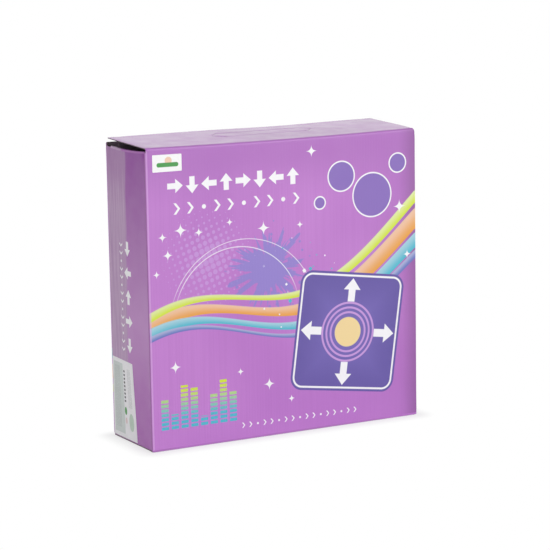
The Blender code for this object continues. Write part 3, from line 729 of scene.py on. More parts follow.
# Parts of a step pad, as shares of its half size
padSet = {
    "corner": 0.22,
    "core": 0.5,
    "rings": (0.33, 0.41, 0.49),
    "ringWide": 0.035,
    "arrow": 0.2,
    "arrowAt": 0.7,
    "lineIn": 0.055,
    "lineWide": 0.016,
}


def stepPad(place, colour, centre, half, turn):
    # A rounded square pad with an arrow to each side and rings round its middle
    local = motifAt(place, centre, turn)
    away = useGroup("box", local, half, half, half * padSet["corner"])
    x, y, _ = split(abs(local))
    low = smallest(x, y)
    high = largest(x, y)
    ground = paint(inks["violet"], inks["violetDeep"], fromTo(away, -half, 0.0))
    colour = paint(colour, ground, inside(away))
    core = useGroup("ring", local, 0.0, half * padSet["core"])
    for radius in padSet["rings"]:
        ring = useGroup("ring", local, half * radius, half * padSet["ringWide"])
        colour = paint(colour, inks["pink"], inside(ring))
    colour = paint(colour, inks["cream"], inside(core))
    beside = together(high - half * padSet["arrowAt"], low)
    arrow = useGroup("arrow", beside, half * padSet["arrow"])
    colour = paint(colour, inks["white"], inside(arrow))
    line = abs(away + half * padSet["lineIn"]) - half * padSet["lineWide"]
    return paint(colour, inks["white"], inside(line))


def ground(place, low, high, size=0.006):
    return paint(low, high, fromTo(noiseAt(place, size, 1.0), 0.35, 0.65))


frontSet = {
    # The first four entries are painted light: a highlight down the left crease, shade at the right
    # edge, light and shade across the front, and faint streaks of shade where the flutes show through
    "paintedCreaseHighlight": tint(222, 170, 232),
    "turned": tint(146, 82, 158),
    "paintedLightAndShade": [
        ("orchidPale", 0, (-170.0, -90.0, 0.9, 0.0)), ("orchidDeep", 0, (90.0, 168.0, 0.0, 0.45)),
        ("orchidDeep", 1, (262.0, 322.0, 0.0, 0.7)),
    ],
    "streak": 0.16,
    "titleRow": ((-146.0, 291.0), 20.8, 8, 9.6),
    "underRow": ((-142.0, 266.0), 16.4, 10, 6.2),
    "pad": (78.0, 108.0),
    "padHalf": 68.0,
    "padTurn": -8.0,
    "footRow": ((-62.0, 17.0), 9.0, 17, 3.0),
    "ribbons": [
        ("orange", 0.0, 15.0), ("lime", 17.0, 9.0), ("teal", -17.0, 11.0), ("blue", -28.0, 6.0),
    ],
    "sparkles": [
        ((-28.0, 236.0), 9.0), ((148.0, 246.0), 9.0), ((-140.0, 92.0), 8.0), ((-24.0, 60.0), 8.0),
        ((34.0, 318.0), 8.0), ((-152.0, 236.0), 6.0), ((-130.0, 242.0), 9.0), ((-146.0, 216.0), 7.0),
        ((-108.0, 238.0), 6.0), ((-160.0, 196.0), 5.0), ((18.0, 236.0), 5.0), ((-70.0, 246.0), 5.0),
        ((158.0, 190.0), 6.0), ((-60.0, 78.0), 5.0), ((4.0, 40.0), 5.0),
    ],
    "bubbles": [
        ((72.0, 286.0), 17.0), ((112.0, 262.0), 25.0), ((146.0, 296.0), 11.0), ((44.0, 258.0), 7.0)
    ],
    "burst": (-98.0, 208.0),
    "halftone": (7.0, 62.0),
    "splash": (-22.0, 190.0),
    "splashRadius": 40.0,
    "confetti": (14.0, 168.0),
    "arcs": [((-62.0, 140.0), 78.0, 0.9), ((-54.0, 134.0), 92.0, 0.7)],
    "bars": ((-160.0, 22.0), 12.0, 8),
    "barHalf": 4.4,
    "barReach": 42.0,
    "barLow": 12.0,
    "barPart": 5.0,
}


def frontGroundAndShading(place):
    # Painted light and shade: paler to the left, deeper to the right and the top, with faint streaks
    # of painted shade along the flutes
    axes = split(place)
    colour = ground(place, inks["orchid"], inks["orchidPale"])
    for ink, axis, ends in frontSet["paintedLightAndShade"]:
        colour = paint(colour, inks[ink], fromTo(axes[axis], *ends))
    streak = noiseAt(place * (0.62, 0.006, 0.0), 1.0, 2.0)
    colour = paint(colour, inks["orchidDeep"], fromTo(streak, 0.35, 0.7, 0.0, frontSet["streak"]))
    # Painted shade darkens the right upright edge, where the front turns away from the light
    return paint(colour, frontSet["turned"], fromTo(axes[0], 144.0, 174.0))


def frontPrintAndShading(place):
    colour = frontGroundAndShading(place)
    dots = useGroup("halftone", motifAt(place, frontSet["burst"], 20.0), *frontSet["halftone"])
    colour = paint(colour, inks["pink"], dots * 0.75)
    blot = useGroup("splash", motifAt(place, frontSet["splash"]), frontSet["splashRadius"])
    colour = paint(colour, inks["periwinkle"], blot * 0.85)
    for centre, radius, width in frontSet["arcs"]:
        arc = inside(useGroup("ring", motifAt(place, centre), radius, width))
        arc = arc * fromTo(split(place)[1], 150.0, 190.0, 0.0, 0.85)
        colour = paint(colour, inks["white"], arc)
    colour = ribbons(place, colour, frontSet["ribbons"])
    strewn, pick = useGroup("confetti", motifAt(place, frontSet["confetti"], 30.0))
    colour = paint(colour, paint(inks["white"], inks["teal"], pick > 0.6), strewn)
    for centre, radius in frontSet["bubbles"]:
        local = motifAt(place, centre)
        disc = useGroup("ring", local, radius / 2, radius)
        colour = paint(colour, inks["violet"], inside(disc) * 0.8)
        colour = paint(colour, inks["white"], inside(useGroup("ring", local, radius, 1.6)))
    colour = stepPad(place, colour, frontSet["pad"], frontSet["padHalf"], frontSet["padTurn"])

    # Level bars at the lower left
    local, number, row = repeated(place, *frontSet["bars"])
    x, y, _ = split(local)
    pick = addNode("TexWhiteNoise", {"W": number}, noise_dimensions="1D")
    height = timesPlus(pick, frontSet["barReach"], frontSet["barLow"])
    bars = (abs(x) < frontSet["barHalf"]) * (y < height) * (y > 0.0)
    bars = bars * (fraction(y / frontSet["barPart"]) > 0.3)
    colour = paint(colour, paint(inks["teal"], inks["lime"], fromTo(y, 10.0, 50.0)), bars * row)

    colour = arrowRow(place, colour, *frontSet["titleRow"])
    colour = chevronRow(place, colour, *frontSet["underRow"])
    colour = chevronRow(place, colour, *frontSet["footRow"])
    for centre, size in frontSet["sparkles"]:
        colour = paint(colour, inks["white"], useGroup("sparkle", motifAt(place, centre), size))

    # A painted highlight runs down the left upright crease, and the side's ink starts behind it
    across = split(place)[0]
    colour = paint(colour, frontSet["paintedCreaseHighlight"], fromTo(across, -167.2, -168.0, 0.0, 0.6))
    return paint(colour, sideSet["front"], fromTo(across, -169.2, -169.9))


backSet = {
    "pads": ((-62.0, 214.0), (0.0, 214.0), (62.0, 214.0), (0.0, 152.0)),
    "ribbons": [("orange", 0.0, 13.0), ("teal", 14.0, 9.0), ("lime", -13.0, 7.0)],
    "wave": {"Level": 84.0, "Slope": -0.18, "Swing": 22.0, "Length": 300.0},
    "arrows": ((-84.0, 290.0), 42.0, 4, 13.0),
    "chevrons": ((-130.0, 30.0), 13.0, 20, 4.0),
}


def backPrint(place):
    colour = ground(place, inks["orchid"], inks["orchidPale"])
    colour = ribbons(place, colour, backSet["ribbons"], **backSet["wave"])
    for centre in backSet["pads"]:
        colour = stepPad(place, colour, centre, 28.0, 0.0)
    colour = arrowRow(place, colour, *backSet["arrows"])
    return chevronRow(place, colour, *backSet["chevrons"])


sideSet = {
    # The rear colours paint a reflection, a sheen, on the rear half of the side, darker towards its
    # top
    "rear": tint(177, 138, 182),
    "rearSheenPale": tint(196, 163, 198),
    "rearSheenTop": tint(162, 110, 168),
    "front": tint(171, 95, 180),
    "frontPale": tint(192, 135, 199),
    "frontDeep": tint(140, 42, 154),
    "arrows": ((-232.0, -2.0), 27.0, 5, 8.5),
    "chevrons": ((-226.0, -18.0), 9.0, 14, 3.6),
}


def sidePrintAndSheen(place):
    # The front half is deeper than the rear half. The rear half's paler colour, streaked upright and
    # darker towards the top, is a painted reflection
    x, y, _ = split(place)
    bent = timesPlus(noiseAt(place, 0.02, 1.0), 6.0, timesPlus(y, 0.03, -14.0))
    front = fromTo(x - bent, -3.0, 3.5)
    streak = noiseAt(place * (0.5, 0.012, 0.0), 1.0, 2.0)
    rear = paint(sideSet["rear"], sideSet["rearSheenPale"], fromTo(streak, 0.35, 0.7))
    rear = paint(rear, sideSet["rearSheenTop"], fromTo(y, 255.0, 325.0, 0.0, 0.85))
    fore = paint(sideSet["front"], sideSet["frontPale"], fromTo(y, 20.0, 150.0))
    fore = paint(fore, sideSet["frontDeep"], fromTo(y, 140.0, 330.0, smooth=False))
    colour = paint(rear, fore, front)

    # A column of arrows and one of chevrons, which read downwards
    down = together(y * -1.0, x)
    colour = arrowRow(down, colour, *sideSet["arrows"])
    return chevronRow(down, colour, *sideSet["chevrons"])


def lidPrint(place):
    return ground(place, inks["lid"], inks["orchid"], 0.01)


def bendPrintAndShade(place):
    # From the front's ink at its top, painted shade included, to the lid's
    share = fromTo(split(place)[1], 0.6, 2.8)
    return paint(frontGroundAndShading(place + (0.0, (cartonTop - bend) / mm, 0.0)), inks["lid"], share)


filmSet = {
    "roughness": 0.36,
    "coat": 0.3,
    "coatRoughness": 0.16,
    "bump": 0.3,
    "bumpDepth": 0.12 * mm,
}


def makeMaterial(name, look, bump, depth, isFlat=True, **plain):
    # look gives a colour, roughness, bump height and metallic share at a place in millimetres
    material = bpy.data.materials.new(name)
    material.use_nodes = True
    work["tree"] = material.node_tree
    inputs = material.node_tree.nodes["Principled BSDF"].inputs
    looks = zip(("Base Color", "Roughness", "Height", "Metallic"), look(placeHere(isFlat)))
    values = {**dict(looks), **plain}
    height = {"Height": values.pop("Height"), "Strength": bump, "Distance": depth}
    for key, value in values.items():
        feed(value, inputs[key.replace("_", " ")])
    feed(addNode("Bump", height), inputs["Normal"])
    return material


def placeHere(isFlat):
    # The flat place kept on a mesh, or else the place in the object
    if isFlat:
        return addNode("Attribute", output="Vector", attribute_name="flat")
    return scaled(addNode("TexCoord", output="Object"), 1000.0)


def makeFilm(name, artwork, flutes=0.5, clouds=1.6, gloss=1.0, level=0.5):
    # Printed board under a clear laminated film
    def look(place):
        height, cloud = useGroup("grain", place, Flutes=flutes, Clouds=clouds)
        rim = addNode("Attribute", output="Fac", attribute_name="rim")
        worn = useGroup("rubbed", place, rim, 0.7, 0.25)
        middle = filmSet["roughness"]
        rough = fromTo(cloud, 0.3, 0.7, middle - 0.05, middle + 0.08)
        return paint(artwork(place), inks["rub"], worn), timesPlus(worn, 0.3, rough), height

    return makeMaterial(
        name, look, filmSet["bump"], filmSet["bumpDepth"], Specular_IOR_Level=level,
        Coat_Weight=filmSet["coat"] * gloss, Coat_Roughness=filmSet["coatRoughness"],
    )


def makePaper(name, low, high, roughness):
    # Liner or flute paper with fibres and faint clouds
    def look(place):
        fibres = noiseAt(place * (1.0, 0.2, 1.0), 2.4, 4.0, 0.7)
        mask = timesPlus(fibres, 0.5, noiseAt(place, 0.06, 3.0) * 0.5)
        colour = paint(low, high, fromTo(mask, 0.38, 0.62))
        return colour, varied(fibres, roughness, 0.06), fibres

    return makeMaterial(name, look, 0.4, 0.1 * mm)


materials = {
    "front": makeFilm("frontPrintAndShading", frontPrintAndShading),
    "back": makeFilm("backPrint", backPrint),
    "side": makeFilm("sidePrintAndSheen", sidePrintAndSheen, flutes=0.7, gloss=0.4, level=0.3),
    "lid": makeFilm("lidPrint", lidPrint, flutes=0.15, clouds=0.5, gloss=2.3),
    "bend": makeFilm("topBendPrintAndShade", bendPrintAndShade, flutes=0.15),
    "liner": makePaper("greyLiner", tint(122, 107, 118), tint(138, 124, 133), 0.85),
    "edge": makePaper("cutEdge", tint(142, 124, 140), tint(176, 160, 172), 0.9),
    "medium": makePaper("flutedMedium", tint(118, 94, 78), tint(150, 124, 102), 0.9),
}


def boardMaterials(outer):
    return [materials[outer], materials["liner"], materials["edge"], materials["medium"]]


print("materials made:", len(bpy.data.materials))

# Walls
wallSet = {
    "step": 8.0 * mm,
    "creaseHalf": halfWidth - 0.6 * mm,
    "cutTop": 329.6 * mm,
    "leftSag": (0.1 * mm, -1.6 * mm, 0.8 * mm),
    "leftSagReach": 40 * mm,
    "cutLow": 0.4 * mm,
    "arcSteps": 7,
    "rows": 44,
    "fluteRows": 14,
}
wallRows, wallFluteRows = rowPlan(wallSet["rows"]), rowPlan(wallSet["fluteRows"])
straight = halfWidth - corner
girthEnd = straight + corner * math.pi / 2
cornerShare = (wallSet["creaseHalf"] - straight) / corner
creaseTurn = math.asin(cornerShare ** (1 / boardSet["cornerTight"]))
creaseEnd = straight + corner * creaseTurn
frontCrease = cartonTop
innerLevel = innerFlapLow.z
dustLevel = lowDustLow.z
sideLow = leftLow.z


def sideFacts(name):
    # The crease and the ends of the dust flap of one side, from the frame
    low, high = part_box(f"dust_flap_{name}")
    return {
        "crease": jointPlace[f"dust_{name}_fold"].z,
        "front": low.y + 0.5 * mm,
        "back": high.y,
    }


sides = {name: sideFacts(name) for name in ("left", "right")}


def longWallColumns():
    places = stations(-straight, straight, wallSet["step"])
    for side in (-1, 1):
        for index in range(1, wallSet["arcSteps"] + 1):
            places.append(side * (straight + (girthEnd - straight) * index / wallSet["arcSteps"]))
        places += [side * (creaseEnd - stepGap), side * (creaseEnd + stepGap)]
    return sorted(places)


def around(u, t):
    # Across and inward place of a long wall whose two ends turn the upright corners
    beyond = abs(u) - straight
    if beyond <= 0:
        return u, t
    # The outer side turns tighter than a quarter circle
    turn = min(beyond / corner, math.pi / 2)
    tight = boardSet["cornerTight"]
    power = tight + (1 - tight) * max(0.0, t) / board
    across = straight + (corner - t) * math.sin(turn) ** power
    return math.copysign(across, u), corner - (corner - t) * max(0.0, math.cos(turn)) ** power


def upright(v, t, low, high):
    return v + mitre(v, t, high, -1) + mitre(v, t, low, 1)


def frontPlace(u, v, t):
    x, inward = around(u, t)
    return Vector((x, frontY + inward, upright(v, t, 0.0, frontCrease)))


def backPlace(u, v, t):
    x, inward = around(u, t)
    return Vector((-x, backY - inward, upright(v, t, innerLevel, -1.0)))


def leftSag(y):
    # Rise of the left crease at a place along it, through three measured places
    rear, centre, front = wallSet["leftSag"]
    share = y / (backY - corner)
    return centre + (rear - front) / 2 * share + ((rear + front) / 2 - centre) * share ** 2


def leftPlace(u, v, t):
    crease = sides["left"]["crease"]
    z = v + mitre(v, t, crease, -1)
    z += leftSag(-u) * ramp(z, crease - wallSet["leftSagReach"], crease)
    return Vector((-halfWidth + t, -u, z))


def rightPlace(u, v, t):
    return Vector((halfWidth - t, u, v + mitre(v, t, sides["right"]["crease"], -1)))


def makeLongWalls():
    columns = longWallColumns()
    top, cutTop = frontCrease - bend, wallSet["cutTop"]

    def frontLowAt(u):
        return bend if abs(u) < creaseEnd else wallSet["cutLow"]

    def frontHighAt(u):
        return top if abs(u) < creaseEnd else cutTop

    def frontCut(point):
        return abs(point.x) > creaseEnd and not abs(point.x) > girthEnd - touch

    makePanel(
        "frontWall", "front_panel", "printed_board", columns, [(frontLowAt, frontHighAt)],
        wallRows, frontPlace, frontCut, boardMaterials("front"), fluteRows=wallFluteRows,
    )

    backTop = backHigh.z
    backLowAt = innerLevel + bend

    def backCut(point):
        atTop = point.y > backTop - touch
        return atTop or (abs(point.x) > straight and abs(point.x) < girthEnd - touch)

    makePanel(
        "backWall", "back_panel", "printed_board", columns,
        [(lambda u: backLowAt if abs(u) < straight else innerLevel + wallSet["cutLow"],
          lambda u: backTop)],
        wallRows, backPlace, backCut, boardMaterials("back"), fluteRows=wallFluteRows,
    )


def makeSideWall(name, place, sign):
    sideEnd = backY - corner
    crease = sides[name]["crease"]
    ends = sorted((sign * sides[name]["front"], sign * sides[name]["back"]))
    steps = [end + gap for end in ends for gap in (-stepGap, stepGap)]
    sideColumns = stations(-sideEnd, sideEnd, wallSet["step"], steps)

    def highAt(u):
        return crease - (bend if ends[0] < u < ends[1] else board)

    def sideCut(point):
        atTop = point.y > crease - 2 * bend and not ends[0] < point.x < ends[1]
        return atTop or point.y < sideLow + touch

    makePanel(
        name + "Wall", name + "_side_panel", "printed_side", sideColumns,
        [(lambda u: sideLow, highAt)], wallRows, place, sideCut, boardMaterials("side"),
        fluteRows=wallFluteRows,
    )


makeLongWalls()
makeSideWall("left", leftPlace, -1)
makeSideWall("right", rightPlace, 1)
print("walls made")

# The sticker on the front and the paper label at the foot of the left side
labelSet = {
    "lift": 0.03 * mm,
    "thickness": 0.14 * mm,
    "corner": 0.9 * mm,
    "step": 3.0 * mm,
    "green": tint(52, 150, 60),
    "peach": tint(244, 206, 180),
    "paper": tint(214, 222, 219),
    "border": tint(248, 247, 250),
    "rule": tint(170, 178, 176),
    "mark": tint(66, 70, 74),
    "leaf": tint(196, 216, 200),
    "red": tint(206, 120, 112),
    "lean": 0.1,
    "leanFrom": 17 * mm,
    "fall": 1.5 * mm,
    "ruled": [((-16.5, 1.0), 7.5, 35.0), ((16.0, 14.0), 5.0, 22.0)],
    "rulePitch": 2.5,
    "body": ((-13.5, 0.0), 13.0, 40.0),
    "marks": ((-34.0, 3.0), 4.2, 9),
    "spots": [
        ("leaf", (17.0, -24.0), 8.0, 1.0), ("green", (3.0, -13.0), 3.6, 1.0),
        ("red", (3.5, -24.0), 2.8, 0.45),
    ],
    "disc": ((1.5, 2.6), 4.2),
    "bar": ((0.5, -1.8), (13.0, 2.4, 2.2)),
    "stickerShift": (0.9 * mm, 1.9 * mm),
}


def stickerPrint(place):
    # White, with a plain green bar and a pale half disc above it
    colour = tint(253, 253, 253)
    centre, size = labelSet["disc"]
    disc = useGroup("ring", motifAt(place, centre), size / 2, size)
    colour = paint(colour, labelSet["peach"], inside(disc))
    centre, sizes = labelSet["bar"]
    bar = useGroup("box", motifAt(place, centre), *sizes)
    return paint(colour, labelSet["green"], inside(bar))


def ruledLines(place, pitch, width):
    # Broken lines that run along Y
    x, y, _ = split(place)
    across = x / pitch
    line = abs(fraction(across) - 0.5)
    return (line < width) * fromTo(noiseAt(together(floor(across) * 7.3, y), 0.55, 1.0), 0.36, 0.42)


def labelPrint(place):
    # White paper with a grey half, ruled lines, a column of marks and plain dots
    centre, wide, tall = labelSet["body"]
    body = useGroup("box", motifAt(place, centre), wide, tall, 0.8)
    colour = paint(labelSet["border"], labelSet["paper"], inside(body))
    for centre, wide, tall in labelSet["ruled"]:
        local = motifAt(place, centre)
        block = inside(useGroup("box", local, wide, tall, 0.5))
        mask = ruledLines(local, labelSet["rulePitch"], 0.17) * block
        colour = paint(colour, labelSet["rule"], mask * 0.8)
    x, y, _ = split(place)
    local, _, row = repeated(together(y * -1.0, x), *labelSet["marks"])
    mark = inside(useGroup("box", local, 1.2, 1.9, 0.4), 0.25)
    colour = paint(colour, labelSet["mark"], mark * row)
    for ink, centre, size, share in labelSet["spots"]:
        disc = inside(useGroup("ring", motifAt(place, centre) * (1.25, 0.8, 1.0), size / 2, size))
        colour = paint(colour, labelSet[ink], disc * share)
    return colour


def makeLabelPaper(name, artwork, roughness, clouds):
    # Printed paper with fine fibres
    def look(place):
        fibres = noiseAt(place * (1.0, 0.5, 1.0), 2.2, 3.0)
        cloud = fromTo(noiseAt(place, 0.08, 2.0), 0.3, 0.7, 0.0, clouds)
        colour = paint(artwork(place), tint(196, 192, 188), cloud)
        return colour, varied(fibres, roughness, 0.05), fibres

    return makeMaterial(name, look, 0.25, 0.05 * mm)


def makeLabel(name, node, place, low, high, material):
    # place takes the flat place on its wall; the flat places kept are from the label's middle
    radius = labelSet["corner"]
    marks = []
    for share in (0.1, 0.3, 0.6, 1.0):
        marks += [low[0] + radius * share, high[0] - radius * share]
    columns = stations(low[0], high[0], labelSet["step"], marks)

    def inset(u):
        into = max(0.0, radius - min(u - low[0], high[0] - u))
        return radius - roundEdge(radius, into)

    near, far = -labelSet["lift"], -labelSet["lift"] - labelSet["thickness"]
    points, faces, rims = flatSheet(
        columns, [(lambda u: low[1] + inset(u), lambda u: high[1] - inset(u))],
        rowPlan(max(4, round((high[1] - low[1]) / labelSet["step"]))), lambda u: (near, far),
        lambda point: False,
    )
    middle = Vector(((low[0] + high[0]) / 2, (low[1] + high[1]) / 2, 0.0))
    piece = makePiece(
        name, [settle(place(*point)) for point in points], [corners for corners, _ in faces],
        [point - middle for point in points], [material], rims=rims,
    )
    standFor(piece, node, "label_paper")


def makeLabels():
    low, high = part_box("front_sticker")
    right, up = labelSet["stickerShift"]
    makeLabel(
        "frontSticker", "front_sticker", frontPlace, (low.x + right, low.z + up),
        (high.x + right, high.z + up),
        makeLabelPaper("stickerPaper", stickerPrint, 0.35, 0.04),
    )
    low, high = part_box("side_label")

    def leaningPlace(u, v, t):
        # The label is stuck on a little askew
        share = (u + high.y) / (high.y - low.y)
        across = u - share * labelSet["lean"] * (v - labelSet["leanFrom"])
        return leftPlace(across, v - share * labelSet["fall"] * v / high.z, t)

    makeLabel(
        "sideLabel", "side_label", leaningPlace, (-high.y, low.z), (-low.y, high.z),
        makeLabelPaper("labelPaper", labelPrint, 0.55, 0.1),
    )


makeLabels()
print("labels made")

# Bottom flaps. Each carries on from its wall round a crease: below nothing along it is the crease
bottomSet = {
    "creaseRows": 8,
    "flatRows": 12,
    "dustRows": 8,
    "clear": 0.3 * mm,
    "narrow": 0.0035,
    "glueRows": 30,
    "glueTaper": 10 * mm,
}


def bentFlap(wallPlace, flapPlace, cornerPlace):
    def place(u, v, t):
        if v >= bend:
            return flapPlace(u, v, t)
        share = v / bend
        return creasePoint(wallPlace(u, t), cornerPlace(u, t), flapPlace(u, bend, t), share, t)
    return place


def flapRows(length):
    # Shares of a strip whose first bend's length is the crease
    crease = bend / length
    creaseRows, flatRows = bottomSet["creaseRows"], bottomSet["flatRows"]
    plan = [(crease * index / creaseRows, 0.0) for index in range(creaseRows)]
    plan += [(crease + (1 - crease) * index / flatRows, 0.0) for index in range(flatRows + 1)]
    plan += [(1.0, -margin) for margin in boardSet["edgeRows"]]
    return sorted(plan)


def makeBottom():
    outerEnd = backY - frontY - bottomSet["clear"]
    arcColumns = [place for place in longWallColumns() if abs(place) <= creaseEnd]

    def outerFlap(u, v, t):
        x = around(u, 0.0)[0] * (1 - bottomSet["narrow"] * ramp(v, bend, 4 * bend))
        return Vector((x, frontY + v + mitre(v, t, 0.0, 1), t))

    def outerCorner(u, t):
        x, inward = around(u, t)
        return Vector((x, frontY + t + inward * 0.3, t))

    place = bentFlap(lambda u, t: frontPlace(u, bend, t), outerFlap, outerCorner)
    makePanel(
        "outerFlap", "bottom_outer_flap", "printed_board", arcColumns,
        between(0.0, outerEnd), flapRows(outerEnd), place, lambda point: point.y > bend,
        boardMaterials("lid"),
    )

    innerEnd = backY - innerFlapLow.y - bottomSet["clear"]
    columns = stations(-straight, straight, wallSet["step"])

    def innerFlap(u, v, t):
        return Vector((-u, backY - v - mitre(v, t, 0.0, 1), innerLevel + t))

    place = bentFlap(
        lambda u, t: backPlace(u, innerLevel + bend, t), innerFlap,
        lambda u, t: Vector((-u, backY - t, innerLevel + t)),
    )
    makePanel(
        "innerFlap", "bottom_inner_flap", "board_liner", columns,
        between(0.0, innerEnd), flapRows(innerEnd), place, lambda point: point.y > bend,
        boardMaterials("lid"),
    )


def makeLowDustFlap(name, side):
    sideEnd = backY - corner
    node = f"bottom_dust_flap_{name}"
    low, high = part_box(node)
    near, far = sorted((abs(low.x), abs(high.x)))

    def flap(u, v, t):
        return Vector((side * (far - v), side * u, dustLevel + t))

    makePanel(
        f"lowDustFlap.{name}", node, "board_liner", stations(-sideEnd, sideEnd, wallSet["step"]),
        between(0.0, far - near), rowPlan(bottomSet["dustRows"]), flap, lambda point: True,
        boardMaterials("side"),
    )


def makeGlueFlap():
    low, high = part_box("glue_flap")
    taper = bottomSet["glueTaper"]

    def place(u, v, t):
        return Vector((high.x - t, u, v))

    def lowAt(u):
        return low.z + taper * (high.y - u) / (high.y - low.y)

    def highAt(u):
        return high.z - taper * (high.y - u) / (high.y - low.y)

    makePanel(
        "glueFlap", "glue_flap", "board_liner", stations(low.y, high.y, wallSet["step"]),
        [(lowAt, highAt)], rowPlan(bottomSet["glueRows"]), place, lambda point: True,
        [materials["liner"]] * 2 + boardMaterials("lid")[2:],
    )


makeBottom()
makeLowDustFlap("left", -1)
makeLowDustFlap("right", 1)
makeGlueFlap()
print("bottom and seam made")

# Lid, its tuck flap and the hand hole flap
lidSet = {
    "tuckTurn": 102.0,
    "cornerRadius": 1.4 * mm,
    "tuckHalf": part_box("lid_tuck_flap")[1].x,
    "tuckLength": 28.0 * mm,
    "tuckCorner": 12.0 * mm,
    "handMiddle": 53.0 * mm,
    "handHalfLength": 63.0 * mm,
    "handHalfWidth": 12.0 * mm,
    "handPoint": 11.0 * mm,
    "slit": 0.5 * mm,
    "handCreaseEnd": 43.0 * mm,
    "handStep": 5 * mm,
    "handRows": 4,
    "tuckRows": 5,
    "fluteRows": 4,
    "tuckFluteRows": 3,
    "rows": 9,
}
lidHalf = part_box("lid_panel")[1].x
lidWay = (tuckHinge - lidHinge).normalized()
lidDepth = (tuckHinge - lidHinge).length
lidDown = Vector((0, lidWay.z, -lidWay.y))
tuckWay = Matrix.Rotation(-math.radians(lidSet["tuckTurn"]), 3, "X") @ lidWay
tuckIn = Vector((0, tuckWay.z, -tuckWay.y))
handSlope = lidSet["handHalfWidth"] / lidSet["handPoint"]


def lidPlace(u, v, t):
    along = v + mitre(v, t, 0.0, 1)
    if abs(u) < lidSet["tuckHalf"]:
        along += mitre(v, t, lidDepth, -1)
    return lidHinge + Vector((u, 0, 0)) + lidWay * along + lidDown * t


def tuckPlace(u, v, t):
    return tuckHinge + Vector((u, 0, 0)) + tuckWay * (v + mitre(v, t, 0.0, 1)) + tuckIn * t


def handSpan(u, slit):
    # Half the width of the hand hole at a place along it
    tip = lidSet["handHalfLength"] + slit
    return max(0.0, min(lidSet["handHalfWidth"] + slit, (tip - abs(u)) * handSlope))


def meeting(hinge, inA, inB, t):
    return hinge + (inA + inB) * t / (1 + inA.dot(inB))


def bothSides(*places):
    return [side * place for place in places for side in (-1, 1)]


def makeLid():
    slit = lidSet["slit"]
    middle = lidSet["handMiddle"]
    radius = lidSet["cornerRadius"]
    tuckHalf = lidSet["tuckHalf"]
    tip = lidSet["handHalfLength"] + slit
    shoulder = tip - (lidSet["handHalfWidth"] + slit) / handSlope
    marks = bothSides(tip, shoulder, tuckHalf - stepGap, tuckHalf + stepGap)
    marks += bothSides(*[lidHalf - radius * share for share in (1.0, 0.7, 0.4, 0.2, 0.08)])

    def rearAt(u):
        if abs(u) < tuckHalf:
            return lidDepth - bend
        into = max(0.0, abs(u) - lidHalf + radius)
        return lidDepth - radius + roundEdge(radius, into)

    def isCut(point):
        atFront = point.y < bend + touch
        atTuck = abs(point.y - lidDepth + bend) < 2 * touch and abs(point.x) < tuckHalf
        atHand = point.y < middle - lidSet["handHalfWidth"] and abs(point.x) < shoulder
        return not (atFront or atTuck or atHand)

    strips = [
        (lambda u: bend, lambda u: middle - handSpan(u, slit)),
        (lambda u: middle + handSpan(u, slit), rearAt),
    ]
    makePanel(
        "lidBoard", "lid_panel", "printed_board", stations(-lidHalf, lidHalf, wallSet["step"], marks),
        strips, rowPlan(lidSet["rows"]), lidPlace, isCut, boardMaterials("lid"),
        body="lid", fluteRows=rowPlan(lidSet["fluteRows"]),
    )

    # Crease between the front and the lid. Its ends keep the rounding of the upright corners
    columns = [place for place in longWallColumns() if abs(place) <= creaseEnd]

    def plainCrease(u, v, t):
        x = around(u, 0.0)[0]
        start = Vector((x, frontY + t, frontCrease - bend - t))
        end = lidPlace(x, bend, t)
        centre = meeting(lidHinge, Vector((0, 1, 0)), lidDown, t) + Vector((x, 0, 0))
        return creasePoint(start, centre, end, v / bend, t)

    def roundCrease(u, v, t):
        share = v / bend
        plain = plainCrease(u, v, t)
        wall = frontPlace(u, frontCrease - bend, t)
        start = plainCrease(u, 0.0, t)
        return plain + (wall - start) * (1 - share) ** 2

    makeCrease(
        "lidCrease", columns, plainCrease, roundCrease,
        lambda point: abs(point.x) > creaseEnd - 2 * touch,
        boardMaterials("bend")[:3] + [materials["liner"]],
        lidHinge - Vector((0, 0, bend)), lidHinge + lidWay * bend,
    )


def makeTuck():
    tuckHalf = lidSet["tuckHalf"]
    radius = lidSet["tuckCorner"]
    length = lidSet["tuckLength"]
    shares = (1.0, 0.8, 0.6, 0.4, 0.25, 0.14, 0.06, 0.02)
    marks = bothSides(*[tuckHalf - radius * share for share in shares])
    columns = stations(-tuckHalf, tuckHalf, wallSet["step"], marks)

    def highAt(u):
        into = max(0.0, abs(u) - tuckHalf + radius)
        return length - radius + roundEdge(radius, into)

    makePanel(
        "tuckBoard", "lid_tuck_flap", "printed_board", columns,
        [(lambda u: bend, highAt)], rowPlan(lidSet["tuckRows"]), tuckPlace,
        lambda point: point.y > bend + touch, boardMaterials("lid"), body="tuck",
        fluteRows=rowPlan(lidSet["tuckFluteRows"]),
    )

    def crease(u, v, t):
        centre = meeting(tuckHinge, lidDown, tuckIn, t) + Vector((u, 0, 0))
        return creasePoint(lidPlace(u, lidDepth - bend, t), centre, tuckPlace(u, bend, t), v / bend, t)

    edge = tuckHalf - 0.04 * mm
    makeCrease(
        "tuckCrease", stations(-edge, edge, wallSet["step"]), crease, crease,
        lambda point: abs(point.x) > edge - 2 * touch,
        boardMaterials("lid"), tuckHinge - lidWay * bend, tuckHinge + tuckWay * bend,
    )


